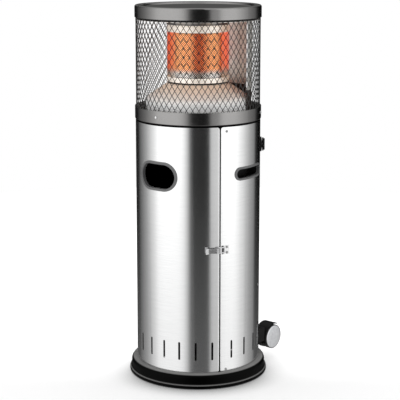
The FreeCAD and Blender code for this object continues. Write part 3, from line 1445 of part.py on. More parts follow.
def make_knob():
    """Push and turn knob on the valve's spindle, over a bezel on the skin."""
    disc = doc.addObject("Part::Cylinder", "disc")
    bind(disc, Radius="dim.bezel_radius", Height="dim.knob_bezel_depth * 2")
    point_out(disc, "0", f"({SKIN} - dim.knob_bezel_depth)", KNOB_LEVEL)
    drum = rod(f"({SKIN} + dim.fit_gap / 3)", "dim.bezel_radius * 3", "0", "0",
               f"({KNOB_LEVEL} - dim.bezel_radius * 1.5)")
    way = rod("dim.spindle_radius + 2 * dim.fit_gap", "dim.bezel_radius * 2", "0",
              f"(-{SKIN} - dim.bezel_radius)", KNOB_LEVEL, along="Y")
    keep(turn_to(cut(disc, drum, way), "dim.knob_bearing"), "knob_bezel")
    skirt = turned("control_knob", [
        ("dim.spindle_radius + dim.spindle_clearance", "0"),
        ("dim.knob_radius", "0"),
        ("dim.knob_radius", "dim.knob_depth * 0.45", "1"),
        ("dim.knob_radius * 0.86", "dim.knob_depth * 0.5"),
        ("dim.knob_radius * 0.86", "dim.knob_depth * 0.55"),
        ("dim.spindle_radius + dim.spindle_clearance", "dim.knob_depth * 0.55"),
    ])
    grip = new_sketch(skirt, "XY_Plane")
    wide = "(dim.knob_radius * 0.84)"
    half = "dim.knob_grip"
    draw_outline(grip, [
        (f"-{half}", f"-{wide}", "2"),
        (half, f"-{wide}", "2"),
        (half, wide, "2"),
        (f"-{half}", wide, "2"),
    ])
    draw_circle(grip, "0", "0", "dim.spindle_radius + dim.spindle_clearance")
    add_pad(skirt, grip, "dim.knob_depth")
    point_out(skirt, "dim.knob_bearing", KNOB_BACK, KNOB_LEVEL)
    length = f"({KNOB_BACK} + dim.knob_depth - dim.fit_gap - {VALVE_FACE} + dim.spindle_tail)"
    spindle = turned("valve_spindle", [
        ("0", "0"),
        ("dim.spindle_radius", "0"),
        ("dim.spindle_radius", length, "0.5"),
        ("0", length),
    ])
    point_out(spindle, "dim.knob_bearing", f"({VALVE_FACE} - dim.spindle_tail)", KNOB_LEVEL)


# Casters


def make_caster(side, sign):
    """Make one hanging twin wheel caster and its bracket. Sign is the side's sign along X."""
    middle = f"({sign} * dim.caster_offset)"
    make_caster_bracket(side, middle)
    make_caster_hood(side, middle)
    make_caster_pins(side, middle)
    for place, way in (("outer", sign), ("inner", f"(-{sign})")):
        make_wheel(side, place, middle, way)


def make_caster_bracket(side, middle):
    """Moulded wedge between the drum and the caster, with a socket for the stem."""
    half = "(dim.caster_bracket_height / 2)"
    low = f"({STEM_LEVEL} + dim.caster_bracket_lift - {half})"
    left = f"({middle} - dim.caster_bracket_width / 2)"
    deep = "dim.body_radius"
    lump = block(left, f"({BRACKET_FACE} - {deep})", low, "dim.caster_bracket_width", deep,
                 "dim.caster_bracket_height")
    drum = rod(f"({SKIN} + dim.fit_gap / 3)", "dim.caster_bracket_height", "0", "0", low)
    front = block(left, f"(-{deep})", low, "dim.caster_bracket_width", deep,
                  "dim.caster_bracket_height")
    start = f"({BRACKET_FACE} - dim.socket_length)"
    socket = rod("dim.socket_radius", "dim.socket_length", middle, start, STEM_LEVEL, along="Y")
    bore = rod("dim.stem_radius + dim.pin_clearance", "dim.socket_length", middle, start, STEM_LEVEL,
               along="Y")
    keep(cut(fuse(cut(lump, drum, front), socket), bore), f"caster_bracket_{side}")


def make_caster_hood(side, middle):
    """Moulded hood over the wheels, with a middle web, a hub and a stem boss."""
    label = f"caster_hood_{side}"
    hood = doc.addObject("PartDesign::Body", f"{label}_shell")
    inner = "(dim.hood_radius - dim.hood_gauge)"
    half = "(dim.hood_width / 2)"
    web = "(dim.web_width / 2)"
    lathe(hood, [
        (inner, f"-{half}"),
        ("dim.hood_radius", f"-{half}", "1"),
        ("dim.hood_radius", half, "1"),
        (inner, half),
        (inner, web),
        ("dim.hub_radius - 2", web),
        ("dim.hub_radius - 2", f"-{web}"),
        (inner, f"-{web}"),
    ], "90 + dim.hood_start", "90 + dim.hood_end")
    turn = "create(<<rotation>>; 90; 0; 90)"
    place = f"create(<<vector>>; {middle}; dim.axle_back; dim.axle_height)"
    hood.setExpression("Placement", f"create(<<placement>>; {place}; {turn})")
    hub = rod("dim.hub_radius", "dim.web_width", f"({middle} - dim.web_width / 2)", "dim.axle_back",
              "dim.axle_height", along="X")
    front = "(dim.axle_back - dim.hood_radius)"
    boss = rod("dim.stem_boss", "(dim.hood_radius - dim.hub_radius)", middle, front, STEM_LEVEL,
               along="Y")
    slim = block(f"({middle} - dim.web_width / 2)", front, f"({STEM_LEVEL} - dim.stem_boss)",
                 "dim.web_width", "dim.hood_radius", "dim.stem_boss * 2")
    stem = rod("dim.stem_radius + dim.pin_clearance / 5", "(dim.hood_radius - dim.hub_radius - 6)",
               middle, front, STEM_LEVEL, along="Y")
    axle = rod("dim.axle_radius + dim.pin_clearance", "dim.hood_width", f"({middle} - {half})",
               "dim.axle_back", "dim.axle_height", along="X")
    joined = fuse(hood, hub, overlap(boss, slim))
    keep(cut(joined, stem, axle), label)


def make_caster_pins(side, middle):
    """Stem that swivels in the bracket, and axle that carries both wheels."""
    front = "(dim.axle_back - dim.hood_radius)"
    reach = "(dim.hood_radius - dim.hub_radius - 6)"
    start = f"({BRACKET_FACE} - dim.socket_length)"
    stem = rod("dim.stem_radius", f"({front} + {reach} - {start})", middle, start, STEM_LEVEL, along="Y")
    half = "(dim.wheel_gap / 2 + dim.wheel_width - dim.wheel_recess - 1)"
    axle = rod("dim.axle_radius", f"(2 * {half})", f"({middle} - {half})", "dim.axle_back",
               "dim.axle_height", along="X")
    keep(group(stem, axle), f"caster_pins_{side}")


def make_wheel(side, place, middle, way):
    """Make a caster wheel with a recessed outer face, and the bright cap in the recess."""
    inner = "(dim.wheel_gap / 2)"
    outer = "(dim.wheel_gap / 2 + dim.wheel_width)"
    recess = f"({outer} - dim.wheel_recess)"
    face = "(dim.wheel_radius - dim.wheel_rim)"
    bore = "(dim.axle_radius + dim.pin_clearance)"
    turn = f"create(<<rotation>>; {way} * 90; 0; 90)"
    spot = f"create(<<vector>>; {middle}; dim.axle_back; dim.axle_height)"
    wheel = turned(f"wheel_{side}_{place}", [
        (bore, inner),
        ("dim.wheel_radius", inner, "1.5"),
        ("dim.wheel_radius", outer, "1.5"),
        (face, outer),
        (face, recess),
        (bore, recess),
    ])
    wheel.setExpression("Placement", f"create(<<placement>>; {spot}; {turn})")
    edge = f"({face} - dim.pin_clearance * 4)"
    cap = turned(f"wheel_cap_{side}_{place}", [
        ("0", recess),
        (edge, recess),
        (edge, outer),
        (f"{edge} - dim.cap_dome * 2", f"{outer} + dim.cap_dome * 0.6", "3"),
        (f"{edge} * 0.5", f"{outer} + dim.cap_dome"),
        ("0", f"{outer} + dim.cap_dome"),
    ])
    cap.setExpression("Placement", f"create(<<placement>>; {spot}; {turn})")


def check_and_write():
    """Check every object and every sub-part, then write one STEP file for each."""
    doc.recompute()
    for obj in doc.Objects:
        if "Invalid" in obj.State or "Error" in obj.State:
            raise RuntimeError(f"{obj.Name} ({obj.Label}) failed: {obj.State}")
    os.makedirs("parts", exist_ok=True)
    for label, obj in parts.items():
        shape = obj.Shape
        if shape.isNull() or not shape.isValid() or not shape.Solids:
            raise RuntimeError(f"{label} is not a valid solid")
        shape.exportStep(f"parts/{label}.step")
    print(f"{len(parts)} sub-parts written")


make_base_pan()
make_rear_shell()
make_door_panel()
make_posts()
make_door_stiffeners()
make_hinge()
make_bezels()
make_latch_base()
make_latch_lever()
make_latch_hook()
make_latch_pins()
make_latch_keeper()
make_shell_rivets()
make_deck_plate()
make_guard_ring()
make_ring_screws()
make_guard_mesh()
make_lid()
make_lid_liner()
make_reflector()
make_burner_skirt()
make_burner_stand()
make_burner_cup()
make_flame_tube()
make_emitter()
make_mixer()
make_probes()
make_valve()
make_feed_pipe()
make_tilt_switch()
make_knob()
make_caster("right", "1")
make_caster("left", "(-1)")
check_and_write()
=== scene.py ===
import math

import bpy
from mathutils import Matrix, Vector


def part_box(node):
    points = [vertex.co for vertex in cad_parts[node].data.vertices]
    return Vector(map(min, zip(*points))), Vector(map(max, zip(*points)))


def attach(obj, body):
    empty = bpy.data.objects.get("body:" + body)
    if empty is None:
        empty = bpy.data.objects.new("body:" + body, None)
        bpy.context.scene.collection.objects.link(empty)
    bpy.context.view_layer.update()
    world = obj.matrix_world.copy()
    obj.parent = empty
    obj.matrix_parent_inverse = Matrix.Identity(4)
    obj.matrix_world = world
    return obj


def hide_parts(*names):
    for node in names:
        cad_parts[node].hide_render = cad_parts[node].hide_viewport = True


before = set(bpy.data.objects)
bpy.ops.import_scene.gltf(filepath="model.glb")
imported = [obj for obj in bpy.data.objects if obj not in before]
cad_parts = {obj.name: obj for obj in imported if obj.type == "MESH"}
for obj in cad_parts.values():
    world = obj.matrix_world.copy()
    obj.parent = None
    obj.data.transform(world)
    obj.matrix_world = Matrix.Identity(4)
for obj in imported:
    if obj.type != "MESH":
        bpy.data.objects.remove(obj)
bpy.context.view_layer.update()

# The view: a product shot from the front right, a little above the lid, with a long lens.
# The camera stands four metres off and looks down at a point on the drum's axis.
turn, tilt, far = math.radians(40.204), math.radians(10.842), 4.0371
aim_aside, aim_height = -0.000217, 0.60861
aim = Vector((aim_aside * math.cos(turn), aim_aside * math.sin(turn), aim_height))
back = Vector((math.sin(turn) * math.cos(tilt), -math.cos(turn) * math.cos(tilt), math.sin(tilt)))
lens = bpy.data.cameras.new("long_lens")
lens.lens, lens.sensor_width = 116.0, 36.0
lens.shift_x, lens.shift_y = 0.005, -0.0485
lens.clip_start, lens.clip_end = 0.1, 60.0
camera = bpy.data.objects.new("camera", lens)
camera.location = aim + back * far
camera.rotation_euler = (-back).to_track_quat("-Z", "Y").to_euler()
bpy.context.scene.collection.objects.link(camera)
bpy.context.scene.camera = camera
bpy.context.scene.view_settings.view_transform = "Standard"


# The light: a white tent for matt surfaces. Polished metal sees it as tall softboxes with
# black flags between them, which is how a steel drum is lit so that it shows its roundness.
def feed(tree, value, socket):
    """Gives a socket its value, which is another socket or a plain one."""
    if isinstance(value, (float, tuple)):
        socket.default_value = value
    else:
        tree.links.new(value, socket)


def work_out(tree, kind, operation, *values):
    """The number that a Math or a VectorMath node makes of sockets and plain values."""
    node = tree.nodes.new("ShaderNode" + kind)
    node.operation = operation
    for socket, value in zip(node.inputs, values):
        feed(tree, value, socket)
    return node.outputs["Value"]


def axes_of(tree, vector):
    """A vector's parts across, along and up."""
    node = tree.nodes.new("ShaderNodeSeparateXYZ")
    tree.links.new(vector, node.inputs["Vector"])
    return node.outputs["X"], node.outputs["Y"], node.outputs["Z"]


def fade(tree, start, end, low, high, share):
    """A number that goes smoothly from low to high as share goes from start to end."""
    node = tree.nodes.new("ShaderNodeMapRange")
    node.interpolation_type = "SMOOTHSTEP"
    for name, value in (("From Min", start), ("From Max", end), ("To Min", low), ("To Max", high)):
        node.inputs[name].default_value = value
    tree.links.new(share, node.inputs["Value"])
    return node.outputs["Result"]


def swap(tree, share, first, second):
    """Goes from first to second by share; each is a socket or a plain number."""
    node = tree.nodes.new("ShaderNodeMix")
    tree.links.new(share, node.inputs["Factor"])
    feed(tree, first, node.inputs["A"])
    feed(tree, second, node.inputs["B"])
    return node.outputs["Result"]


def tones(tree, share, *stops):
    """Colours along share, each stop a place and a colour."""
    node = tree.nodes.new("ShaderNodeValToRGB")
    while len(node.color_ramp.elements) < len(stops):
        node.color_ramp.elements.new(0.5)
    for stop, (place, colour) in zip(node.color_ramp.elements, stops):
        stop.position = place
        stop.color = (*colour, 1)
    tree.links.new(share, node.inputs["Fac"])
    return node.outputs["Color"]


world = bpy.data.worlds.new("light_tent")
bpy.context.scene.world = world
world.use_nodes = True
world.cycles.sampling_method = "NONE"
tent = world.node_tree
glow = tent.nodes["Background"]
glow.inputs["Color"].default_value = (1, 1, 1, 1)
facing = tent.nodes.new("ShaderNodeMapping")
facing.inputs["Rotation"].default_value = (0.0, 0.0, -turn)
tent.links.new(tent.nodes.new("ShaderNodeTexCoord").outputs["Object"], facing.inputs["Vector"])
across, along, upward = axes_of(tent, facing.outputs["Vector"])
towards = work_out(tent, "Math", "MULTIPLY", along, -1.0)
round_the_tent = tent.nodes.new("ShaderNodeMapRange")
round_the_tent.inputs["From Min"].default_value = -math.pi
round_the_tent.inputs["From Max"].default_value = math.pi
tent.links.new(work_out(tent, "Math", "ARCTAN2", across, towards), round_the_tent.inputs["Value"])
softboxes = [
    (-180, 0.01), (-143, 0.01), (-137, 0.07), (-127, 0.14), (-111, 0.29), (-99, 0.49),
    (-88, 0.70), (-78, 0.95), (-66, 1.0), (-42, 1.0), (-35, 0.98), (-27, 0.85), (-20, 0.52),
    (-14, 0.10), (-9, 0.02), (12, 0.015), (20, 0.03), (23.5, 0.47), (37, 0.54), (43, 0.90),
    (50, 1.0), (70, 1.0), (78, 0.88), (88, 0.70), (99, 0.48), (111, 0.30), (125, 0.19),
    (133, 0.02), (146, 0.0), (180, 0.01),
]
boxes = tones(tent, round_the_tent.outputs["Result"],
              *(((degrees + 180) / 360, (strength,) * 3) for degrees, strength in softboxes))
lower = fade(tent, -0.12, -0.34, 1.1, 0.86, upward)
bright_boxes = work_out(tent, "Math", "MULTIPLY", boxes, 1.5)
dimmed = work_out(tent, "Math", "MULTIPLY", bright_boxes, lower)
near_floor = fade(tent, -0.15, -0.6, 0.0, 0.5, upward)
overhead = fade(tent, 0.35, 0.75, 0.0, 0.85, upward)
shiny = swap(tent, overhead, swap(tent, near_floor, dimmed, 0.62), 1.05)
ray = tent.nodes.new("ShaderNodeLightPath")
mirrored = work_out(tent, "Math", "MAXIMUM",
                    ray.outputs["Is Glossy Ray"], ray.outputs["Is Transmission Ray"])
lit = swap(tent, mirrored, 1.1, shiny)
tent.links.new(swap(tent, ray.outputs["Is Camera Ray"], lit, 1.0), glow.inputs["Strength"])

# The floor: a plain pale sweep, as white as the backdrop but for a painted contact shadow. For
# camera rays its colour is ambient occlusion raised to a power that grows towards the front, so
# the painted shadow is deepest at the front, close to the foot, and an emission that is stronger
# behind and beside the heater paints light there.
# Polished steel doesn't mirror it, so the softboxes run to the foot.
bpy.ops.object.select_all(action="DESELECT")
bpy.ops.mesh.primitive_circle_add(vertices=96, radius=3.0, fill_type="NGON",
                                  location=(0, 0, -0.0002))
floor = bpy.context.object
floor.name = "floor"
floor.visible_glossy = False
sweep = bpy.data.materials.new("pale_sweep")
sweep.use_nodes = True
tree = sweep.node_tree
tree.nodes.clear()
paper = tree.nodes.new("ShaderNodeBsdfDiffuse")
paper.inputs["Color"].default_value = (0.85, 0.85, 0.85, 1)
close_by = tree.nodes.new("ShaderNodeAmbientOcclusion")
close_by.samples = 24
close_by.inputs["Distance"].default_value = 0.13
forward = work_out(tree, "VectorMath", "DOT_PRODUCT",
                   tree.nodes.new("ShaderNodeTexCoord").outputs["Object"],
                   (math.sin(turn), -math.cos(turn), 0.0))
# Painted shadow: the occlusion, raised to a power that grows towards the front, darkens the
# floor's colour.
painted_contact_shadow = work_out(tree, "Math", "POWER",
                  close_by.outputs["AO"], fade(tree, -0.1, 0.2, 0.35, 2.0, forward))
seen = tree.nodes.new("ShaderNodeBsdfDiffuse")
tree.links.new(fade(tree, 0.0, 1.0, 0.0, 0.88, painted_contact_shadow), seen.inputs["Color"])
# Painted light: an emission that is stronger behind and beside the heater than in front.
white = tree.nodes.new("ShaderNodeEmission")
tree.links.new(fade(tree, -0.1, 0.2, 0.35, 0.08, forward), white.inputs["Strength"])
both = tree.nodes.new("ShaderNodeAddShader")
tree.links.new(seen.outputs["BSDF"], both.inputs[0])
tree.links.new(white.outputs["Emission"], both.inputs[1])
pick = tree.nodes.new("ShaderNodeMixShader")
ray = tree.nodes.new("ShaderNodeLightPath")
tree.links.new(ray.outputs["Is Camera Ray"], pick.inputs["Fac"])
tree.links.new(paper.outputs["BSDF"], pick.inputs[1])
tree.links.new(both.outputs["Shader"], pick.inputs[2])
tree.links.new(pick.outputs["Shader"],
               tree.nodes.new("ShaderNodeOutputMaterial").inputs["Surface"])
floor.data.materials.append(sweep)


# The base: a pan pressed from steel sheet and powder coated satin black, with a rolled foot
# bead. Where the step faces up it is painted grey as a reflection of overhead light, the bead's
# top is painted near white as a highlight line, and the wall stays black.
# The deck over the drum is pressed and coated like it, and its black edge under the guard's ring
# is a painted shadow line.
def start_finish(name, metal, rough):
    """A new material with its node tree and shader, and the numbers that are the same all over."""
    made = bpy.data.materials.new(name)
    made.use_nodes = True
    shader = made.node_tree.nodes["Principled BSDF"]
    shader.inputs["Metallic"].default_value = metal
    shader.inputs["Roughness"].default_value = rough
    return made, made.node_tree, shader


def place_on(tree, stretch=(1.0, 1.0, 1.0)):
    """The place on the piece, stretched so that a pattern runs the way the surface was worked."""
    place = tree.nodes.new("ShaderNodeTexCoord")
    mapping = tree.nodes.new("ShaderNodeMapping")
    mapping.inputs["Scale"].default_value = stretch
    tree.links.new(place.outputs["Object"], mapping.inputs["Vector"])
    return mapping.outputs["Vector"]


def reach_on(tree):
    """How far the place on the piece is from the drum's axis."""
    return work_out(tree, "VectorMath", "LENGTH", place_on(tree, (1.0, 1.0, 0.0)))


def mottle(tree, place, size, detail=3.0):
    """An uneven cloud with patches of about that size in metres."""
    noise = tree.nodes.new("ShaderNodeTexNoise")
    noise.inputs["Scale"].default_value = 1.0 / size
    noise.inputs["Detail"].default_value = detail
    tree.links.new(place, noise.inputs["Vector"])
    return noise.outputs["Fac"]


def colour_by(tree, shader, share, *stops):
    """The finish's colours along share, each stop a place and a colour."""
    tree.links.new(tones(tree, share, *stops), shader.inputs["Base Color"])


def roughen(tree, shader, share, low, high):
    """Roughness from low to high over the middle of share."""
    tree.links.new(fade(tree, 0.3, 0.7, low, high, share), shader.inputs["Roughness"])


def emboss(tree, shader, height, deep, strength=1.0):
    """Raises the surface by height, deep metres at most."""
    node = tree.nodes.new("ShaderNodeBump")
    node.inputs["Distance"].default_value = deep
    node.inputs["Strength"].default_value = strength
    tree.links.new(height, node.inputs["Height"])
    tree.links.new(node.outputs["Normal"], shader.inputs["Normal"])


def facing_up(tree, start, end):
    """From 0 to 1 as the height of the surface's normal goes from start to end."""
    geometry = tree.nodes.new("ShaderNodeNewGeometry")
    _, _, upright = axes_of(tree, geometry.outputs["Normal"])
    return fade(tree, start, end, 0.0, 1.0, upright)


def dress(finish, *nodes):
    """Gives CAD nodes their finish."""
    for name in nodes:
        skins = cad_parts[name].data.materials
        skins.clear()
        skins.append(finish)


insets = (0.012, 0.009, 0.0045, 0.003)
wall_from, wall_to, bead_from, bead_to = (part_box("base_pan")[1].x - inset for inset in insets)
powder_coat, tree, shader = start_finish("satin_black_powder_coat", 0.0, 0.3)
patchy = mottle(tree, place_on(tree), 0.09, 5.0)
reach = reach_on(tree)
on_wall = fade(tree, wall_from, wall_to, 0.0, 1.0, reach)
on_bead = fade(tree, bead_from, bead_to, 0.0, 1.0, reach)
# Painted reflection and highlight: the up-facing step is grey, the up-facing bead near white, and
# the wall black.
step_sheen_level = swap(tree, on_wall, fade(tree, 0.3, 0.7, 0.31, 0.4, patchy), 0.02)
painted_sheen = swap(tree, facing_up(tree, 0.6, 0.95), 0.0, swap(tree, on_bead, step_sheen_level, 1.0))
colour_by(tree, shader, painted_sheen,
          (0.0, (0.001, 0.001, 0.001)), (0.4, (0.21, 0.208, 0.206)), (1.0, (0.75, 0.745, 0.74)))
shader.inputs["Specular IOR Level"].default_value = 0.03
roughen(tree, shader, patchy, 0.22, 0.36)
emboss(tree, shader, mottle(tree, place_on(tree), 0.0016, 2.0), 0.00006)
dress(powder_coat, "base_pan", "deck_plate")

# The frame inside the drum: the door's stiffeners, the hinge and the valve's bracket are of
# zinc-coated sheet with dull grey spangles. The two posts behind the seams are coated black,
# which paints the seam gaps dark as shade.
zinc, tree, shader = start_finish("zinc_coated_sheet", 1.0, 0.45)
spangle = tree.nodes.new("ShaderNodeTexVoronoi")
spangle.inputs["Scale"].default_value = 140.0
tree.links.new(place_on(tree, (1, 1, 0.7)), spangle.inputs["Vector"])
colour_by(tree, shader, spangle.outputs["Color"],
          (0.2, (0.36, 0.37, 0.38)), (0.8, (0.5, 0.51, 0.52)))
roughen(tree, shader, mottle(tree, place_on(tree), 0.012), 0.35, 0.55)
dress(zinc, "door_stiffeners", "hinge_leaf_fixed", "hinge_leaf_door", "hinge_pin", "valve_bracket")
# Painted shade: the posts are black so that the seam gaps show dark.
dress(powder_coat, "hinge_post", "latch_post")

# The drum: a rear shell and a door rolled from thin stainless sheet, brushed round the drum and
# nearly polished outside, and painted near black inside as the shade within the drum. Vents are
# punched near the foot.
drum_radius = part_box("rear_shell")[1].x
shade_full_reach, shade_from_reach = drum_radius - 0.00035, drum_radius - 0.0002
steel, tree, shader = start_finish("brushed_stainless", 1.0, 0.14)
brushing = mottle(tree, place_on(tree, (0.012, 0.012, 1.0)), 0.0007, 2.0)
blotches = mottle(tree, place_on(tree, (1.0, 1.0, 0.35)), 0.16, 2.0)
# Painted shade: the inner faces of the sheet are near black.
inside = fade(tree, shade_full_reach, shade_from_reach, 1.0, 0.0, reach_on(tree))
colour_by(tree, shader, swap(tree, inside, brushing, 0.0),
          (0.0, (0.012, 0.012, 0.012)), (0.2, (0.655, 0.657, 0.66)), (0.7, (0.74, 0.742, 0.74)))
roughen(tree, shader, blotches, 0.13, 0.16)
emboss(tree, shader, brushing, 0.00001, 0.25)
dress(steel, "rear_shell", "door_panel")


# The hems: the sheet is folded back along both sides of the latch's seam, so that no cut edge
# is left to touch. Each fold is a slim rounded bead, and one moves with the door. Their
# near-white, mostly matt finish paints a highlight line along each side of the seam.
def stand_bead(name, reach, low, high, thick):
    """An upright bead of sheet with rounded ends, at the front and reach from the drum's axis."""
    bpy.ops.object.select_all(action="DESELECT")
    bpy.ops.mesh.primitive_cylinder_add(vertices=16, radius=thick, depth=high - low,
                                        location=(0, -reach, (low + high) / 2))
    bead = bpy.context.object
    bead.name = name
    bpy.ops.object.transform_apply(location=True, rotation=True, scale=True)
    ends = bead.modifiers.new("ends", "BEVEL")
    ends.width, ends.segments, ends.limit_method = thick * 0.7, 3, "ANGLE"
    ends.angle_limit = math.radians(60)
    bpy.ops.object.modifier_apply(modifier="ends")
    bpy.ops.object.shade_smooth_by_angle(angle=math.radians(60))
    return bead


def turn_piece(piece, bearing):
    """Turns a piece about the drum's axis, and leaves its place in its mesh."""
    bpy.ops.object.select_all(action="DESELECT")
    piece.select_set(True)
    bpy.context.view_layer.objects.active = piece
    piece.rotation_euler = (0, 0, bearing)
    bpy.ops.object.transform_apply(location=True, rotation=True, scale=True)
    return piece


def copy_piece(piece, name):
    """A copy of a piece with its own mesh."""
    other = piece.copy()
    other.data = piece.data.copy()
    other.name = name
    bpy.context.scene.collection.objects.link(other)
    return other


def finish_as(piece, finish, body, slot, *stands_for):
    """Gives a new piece its finish and the body it moves with, and hides what it stands for. The
    slot is not used.
    """
    piece.data.materials.clear()
    piece.data.materials.append(finish)
    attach(piece, body)
    if stands_for:
        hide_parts(*stands_for)


# Painted highlight: near white and mostly matt, so that the hems show as bright lines.
hem_highlight_finish, tree, shader = start_finish("folded_edge_painted_highlight", 0.25, 0.5)
folds = mottle(tree, place_on(tree, (1, 1, 0.05)), 0.01)
colour_by(tree, shader, folds, (0.3, (0.93, 0.93, 0.94)), (0.7, (0.98, 0.98, 0.98)))
drum_low, drum_high = (corner.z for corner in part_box("rear_shell"))
fold_thick, fold_sunk, below_fold, above_fold = 0.0012, 0.0007, 0.004, 0.006
door_edge = math.asin(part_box("door_panel")[1].x / drum_radius) - fold_thick / drum_radius
shell_edge = math.acos(-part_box("rear_shell")[0].y / drum_radius) + fold_thick / drum_radius
door_hem = stand_bead("seam_hem_door", drum_radius - fold_sunk,
                      drum_low + below_fold, drum_high - above_fold, fold_thick)
shell_hem = copy_piece(door_hem, "seam_hem_shell")
finish_as(turn_piece(door_hem, door_edge), hem_highlight_finish, "door", "stainless")
finish_as(turn_piece(shell_hem, shell_edge), hem_highlight_finish, "root", "stainless")

# The rivets and screws: steel, with heads that are formed cold. The drum's rivets have dulled,
# and the screws that hold the guard's ring are bright.
dull, tree, shader = start_finish("dull_rivet_steel", 1.0, 0.4)
scuff = mottle(tree, place_on(tree), 0.003)
colour_by(tree, shader, scuff, (0.35, (0.28, 0.28, 0.28)), (0.65, (0.42, 0.42, 0.42)))
dress(dull, "shell_rivets")
bright, tree, shader = start_finish("bright_rivet_steel", 1.0, 0.22)
scuff = mottle(tree, place_on(tree), 0.003)
colour_by(tree, shader, scuff, (0.35, (0.6, 0.6, 0.6)), (0.65, (0.78, 0.78, 0.78)))
roughen(tree, shader, scuff, 0.16, 0.34)
dress(bright, "ring_screws")

# The trim: bezels round the hand hole and the two lifting handles are moulded in dark grey
# plastic with a fine spark-eroded grain, and clip into the sheet. Igniter and tilt switch
# have cases of black plastic with the same grain.
moulding, tree, shader = start_finish("moulded_black_plastic", 0.0, 0.5)
shader.inputs["Specular IOR Level"].default_value = 0.1
grain = mottle(tree, place_on(tree), 0.0009, 3.0)
rubbed = mottle(tree, place_on(tree), 0.03, 4.0)
colour_by(tree, shader, rubbed, (0.35, (0.004, 0.004, 0.004)), (0.7, (0.010, 0.010, 0.010)))
roughen(tree, shader, rubbed, 0.42, 0.58)
emboss(tree, shader, grain, 0.00005)
dress(moulding, "piezo_igniter", "tilt_switch")
grey_trim, tree, shader = start_finish("moulded_grey_trim", 0.0, 0.32)
grain = mottle(tree, place_on(tree), 0.0009, 3.0)
rubbed = mottle(tree, place_on(tree), 0.03, 4.0)
colour_by(tree, shader, rubbed, (0.35, (0.095, 0.095, 0.097)), (0.7, (0.122, 0.122, 0.123)))
roughen(tree, shader, rubbed, 0.28, 0.4)
emboss(tree, shader, grain, 0.00004)
dress(grey_trim, "access_bezel", "handle_bezel_right", "handle_bezel_left")


# The finger pockets: a closed cup of black plastic clips on behind each lifting handle, so that
# a hand meets no sheet edges, and it closes the view through the slot, which paints the slot dark
# as shade. It is swept round the drum's axis, and its open side is the mouth.
def give_wall(piece, thick, side):
    """Gives a sheet its thickness, in front of its faces for side 1 or behind them for -1."""
    wall = piece.modifiers.new("wall", "SOLIDIFY")
    wall.thickness, wall.offset = thick, side
    bpy.ops.object.modifier_apply(modifier="wall")


cup_middle, cup_deep, cup_thick = 0.1752, 0.0304, 0.0012
play_beside, play_above, collar_reach = 0.0035, 0.0034, 0.1862
handle_low, handle_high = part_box("handle_bezel_right")
handle_middle, handle_tall = (handle_low.z + handle_high.z) / 2, handle_high.z - handle_low.z
lean = math.asin((handle_low.y + handle_high.y) / 2 / drum_radius)
half_turn = math.asin(((handle_high.y - handle_low.y) / 2 - play_beside) / collar_reach)
start = lean + half_turn
bpy.ops.object.select_all(action="DESELECT")
bpy.ops.mesh.primitive_plane_add(
    size=1.0, rotation=(math.pi / 2, 0, start),
    location=(cup_middle * math.cos(start), cup_middle * math.sin(start), handle_middle))
pocket = bpy.context.object
pocket.name = "finger_pocket_right"
pocket.scale = (cup_deep, handle_tall - 2 * play_above, 1)
bpy.ops.object.transform_apply(location=True, rotation=True, scale=True)
bpy.ops.object.mode_set(mode="EDIT")
bpy.ops.mesh.select_mode(type="FACE")
bpy.ops.mesh.select_all(action="SELECT")
bpy.ops.mesh.spin(steps=10, angle=2 * half_turn, center=(0, 0, 0), axis=(0, 0, 1))
bpy.ops.mesh.select_all(action="SELECT")
bpy.ops.mesh.remove_doubles(threshold=0.0001)
bpy.ops.mesh.normals_make_consistent(inside=False)
bpy.ops.mesh.select_all(action="DESELECT")
bpy.ops.object.mode_set(mode="OBJECT")
for face in pocket.data.polygons:
    face.select = face.center.xy.length > cup_middle + cup_deep / 4
bpy.ops.object.mode_set(mode="EDIT")
bpy.ops.mesh.delete(type="ONLY_FACE")
bpy.ops.mesh.select_mode(type="VERT")
bpy.ops.object.mode_set(mode="OBJECT")
give_wall(pocket, cup_thick, 1)
left_pocket = turn_piece(copy_piece(pocket, "finger_pocket_left"), math.pi - 2 * lean)
for cup in (left_pocket, pocket):
    finish_as(cup, moulding, "root", "black_trim")

# The latch: an over-centre toggle of chromed steel, riveted to the door, whose hook pulls on a
# keeper riveted to the shell. The keeper's tongue is painted black as the shade in the hook's
# window.
chrome, tree, shader = start_finish("chromed_latch_steel", 1.0, 0.34)
worn = mottle(tree, place_on(tree), 0.004, 4.0)
colour_by(tree, shader, worn, (0.3, (0.42, 0.42, 0.43)), (0.7, (0.6, 0.6, 0.6)))
roughen(tree, shader, worn, 0.28, 0.42)
dress(chrome, "latch_base", "latch_pivot_pin", "latch_lever", "hook_pin", "latch_hook")
keeper_bearing, tongue_end, plate_start = math.radians(66.9), -0.0115, -0.0110
keeper_painted_shade, tree, shader = start_finish("keeper_steel_painted_shade", 0.9, 0.36)
along_keeper = work_out(tree, "VectorMath", "DOT_PRODUCT", place_on(tree),
                        (math.cos(keeper_bearing), math.sin(keeper_bearing), 0.0))
plate = fade(tree, tongue_end, plate_start, 0.0, 1.0, along_keeper)
worn = mottle(tree, place_on(tree), 0.004, 4.0)
# Painted shade: the tongue is near black.
colour_by(tree, shader, swap(tree, plate, 0.0, worn),
          (0.0, (0.004, 0.004, 0.004)), (0.2, (0.6, 0.6, 0.6)), (0.7, (0.78, 0.78, 0.78)))
dress(keeper_painted_shade, "latch_keeper")

# The guard's ring and the lid: pressed steel with a dark grey metallic coat, which holds fine
# flakes and a slight orange peel. What faces up is painted darker and not metallic, as painted
# shade on the tops.
dark_coat, tree, shader = start_finish("dark_metallic_coat", 1.0, 0.22)
flakes = mottle(tree, place_on(tree), 0.0008, 2.0)
patches = mottle(tree, place_on(tree, (1, 1, 2)), 0.07, 3.0)
painted_shade_on_top = facing_up(tree, 0.5, 0.9)
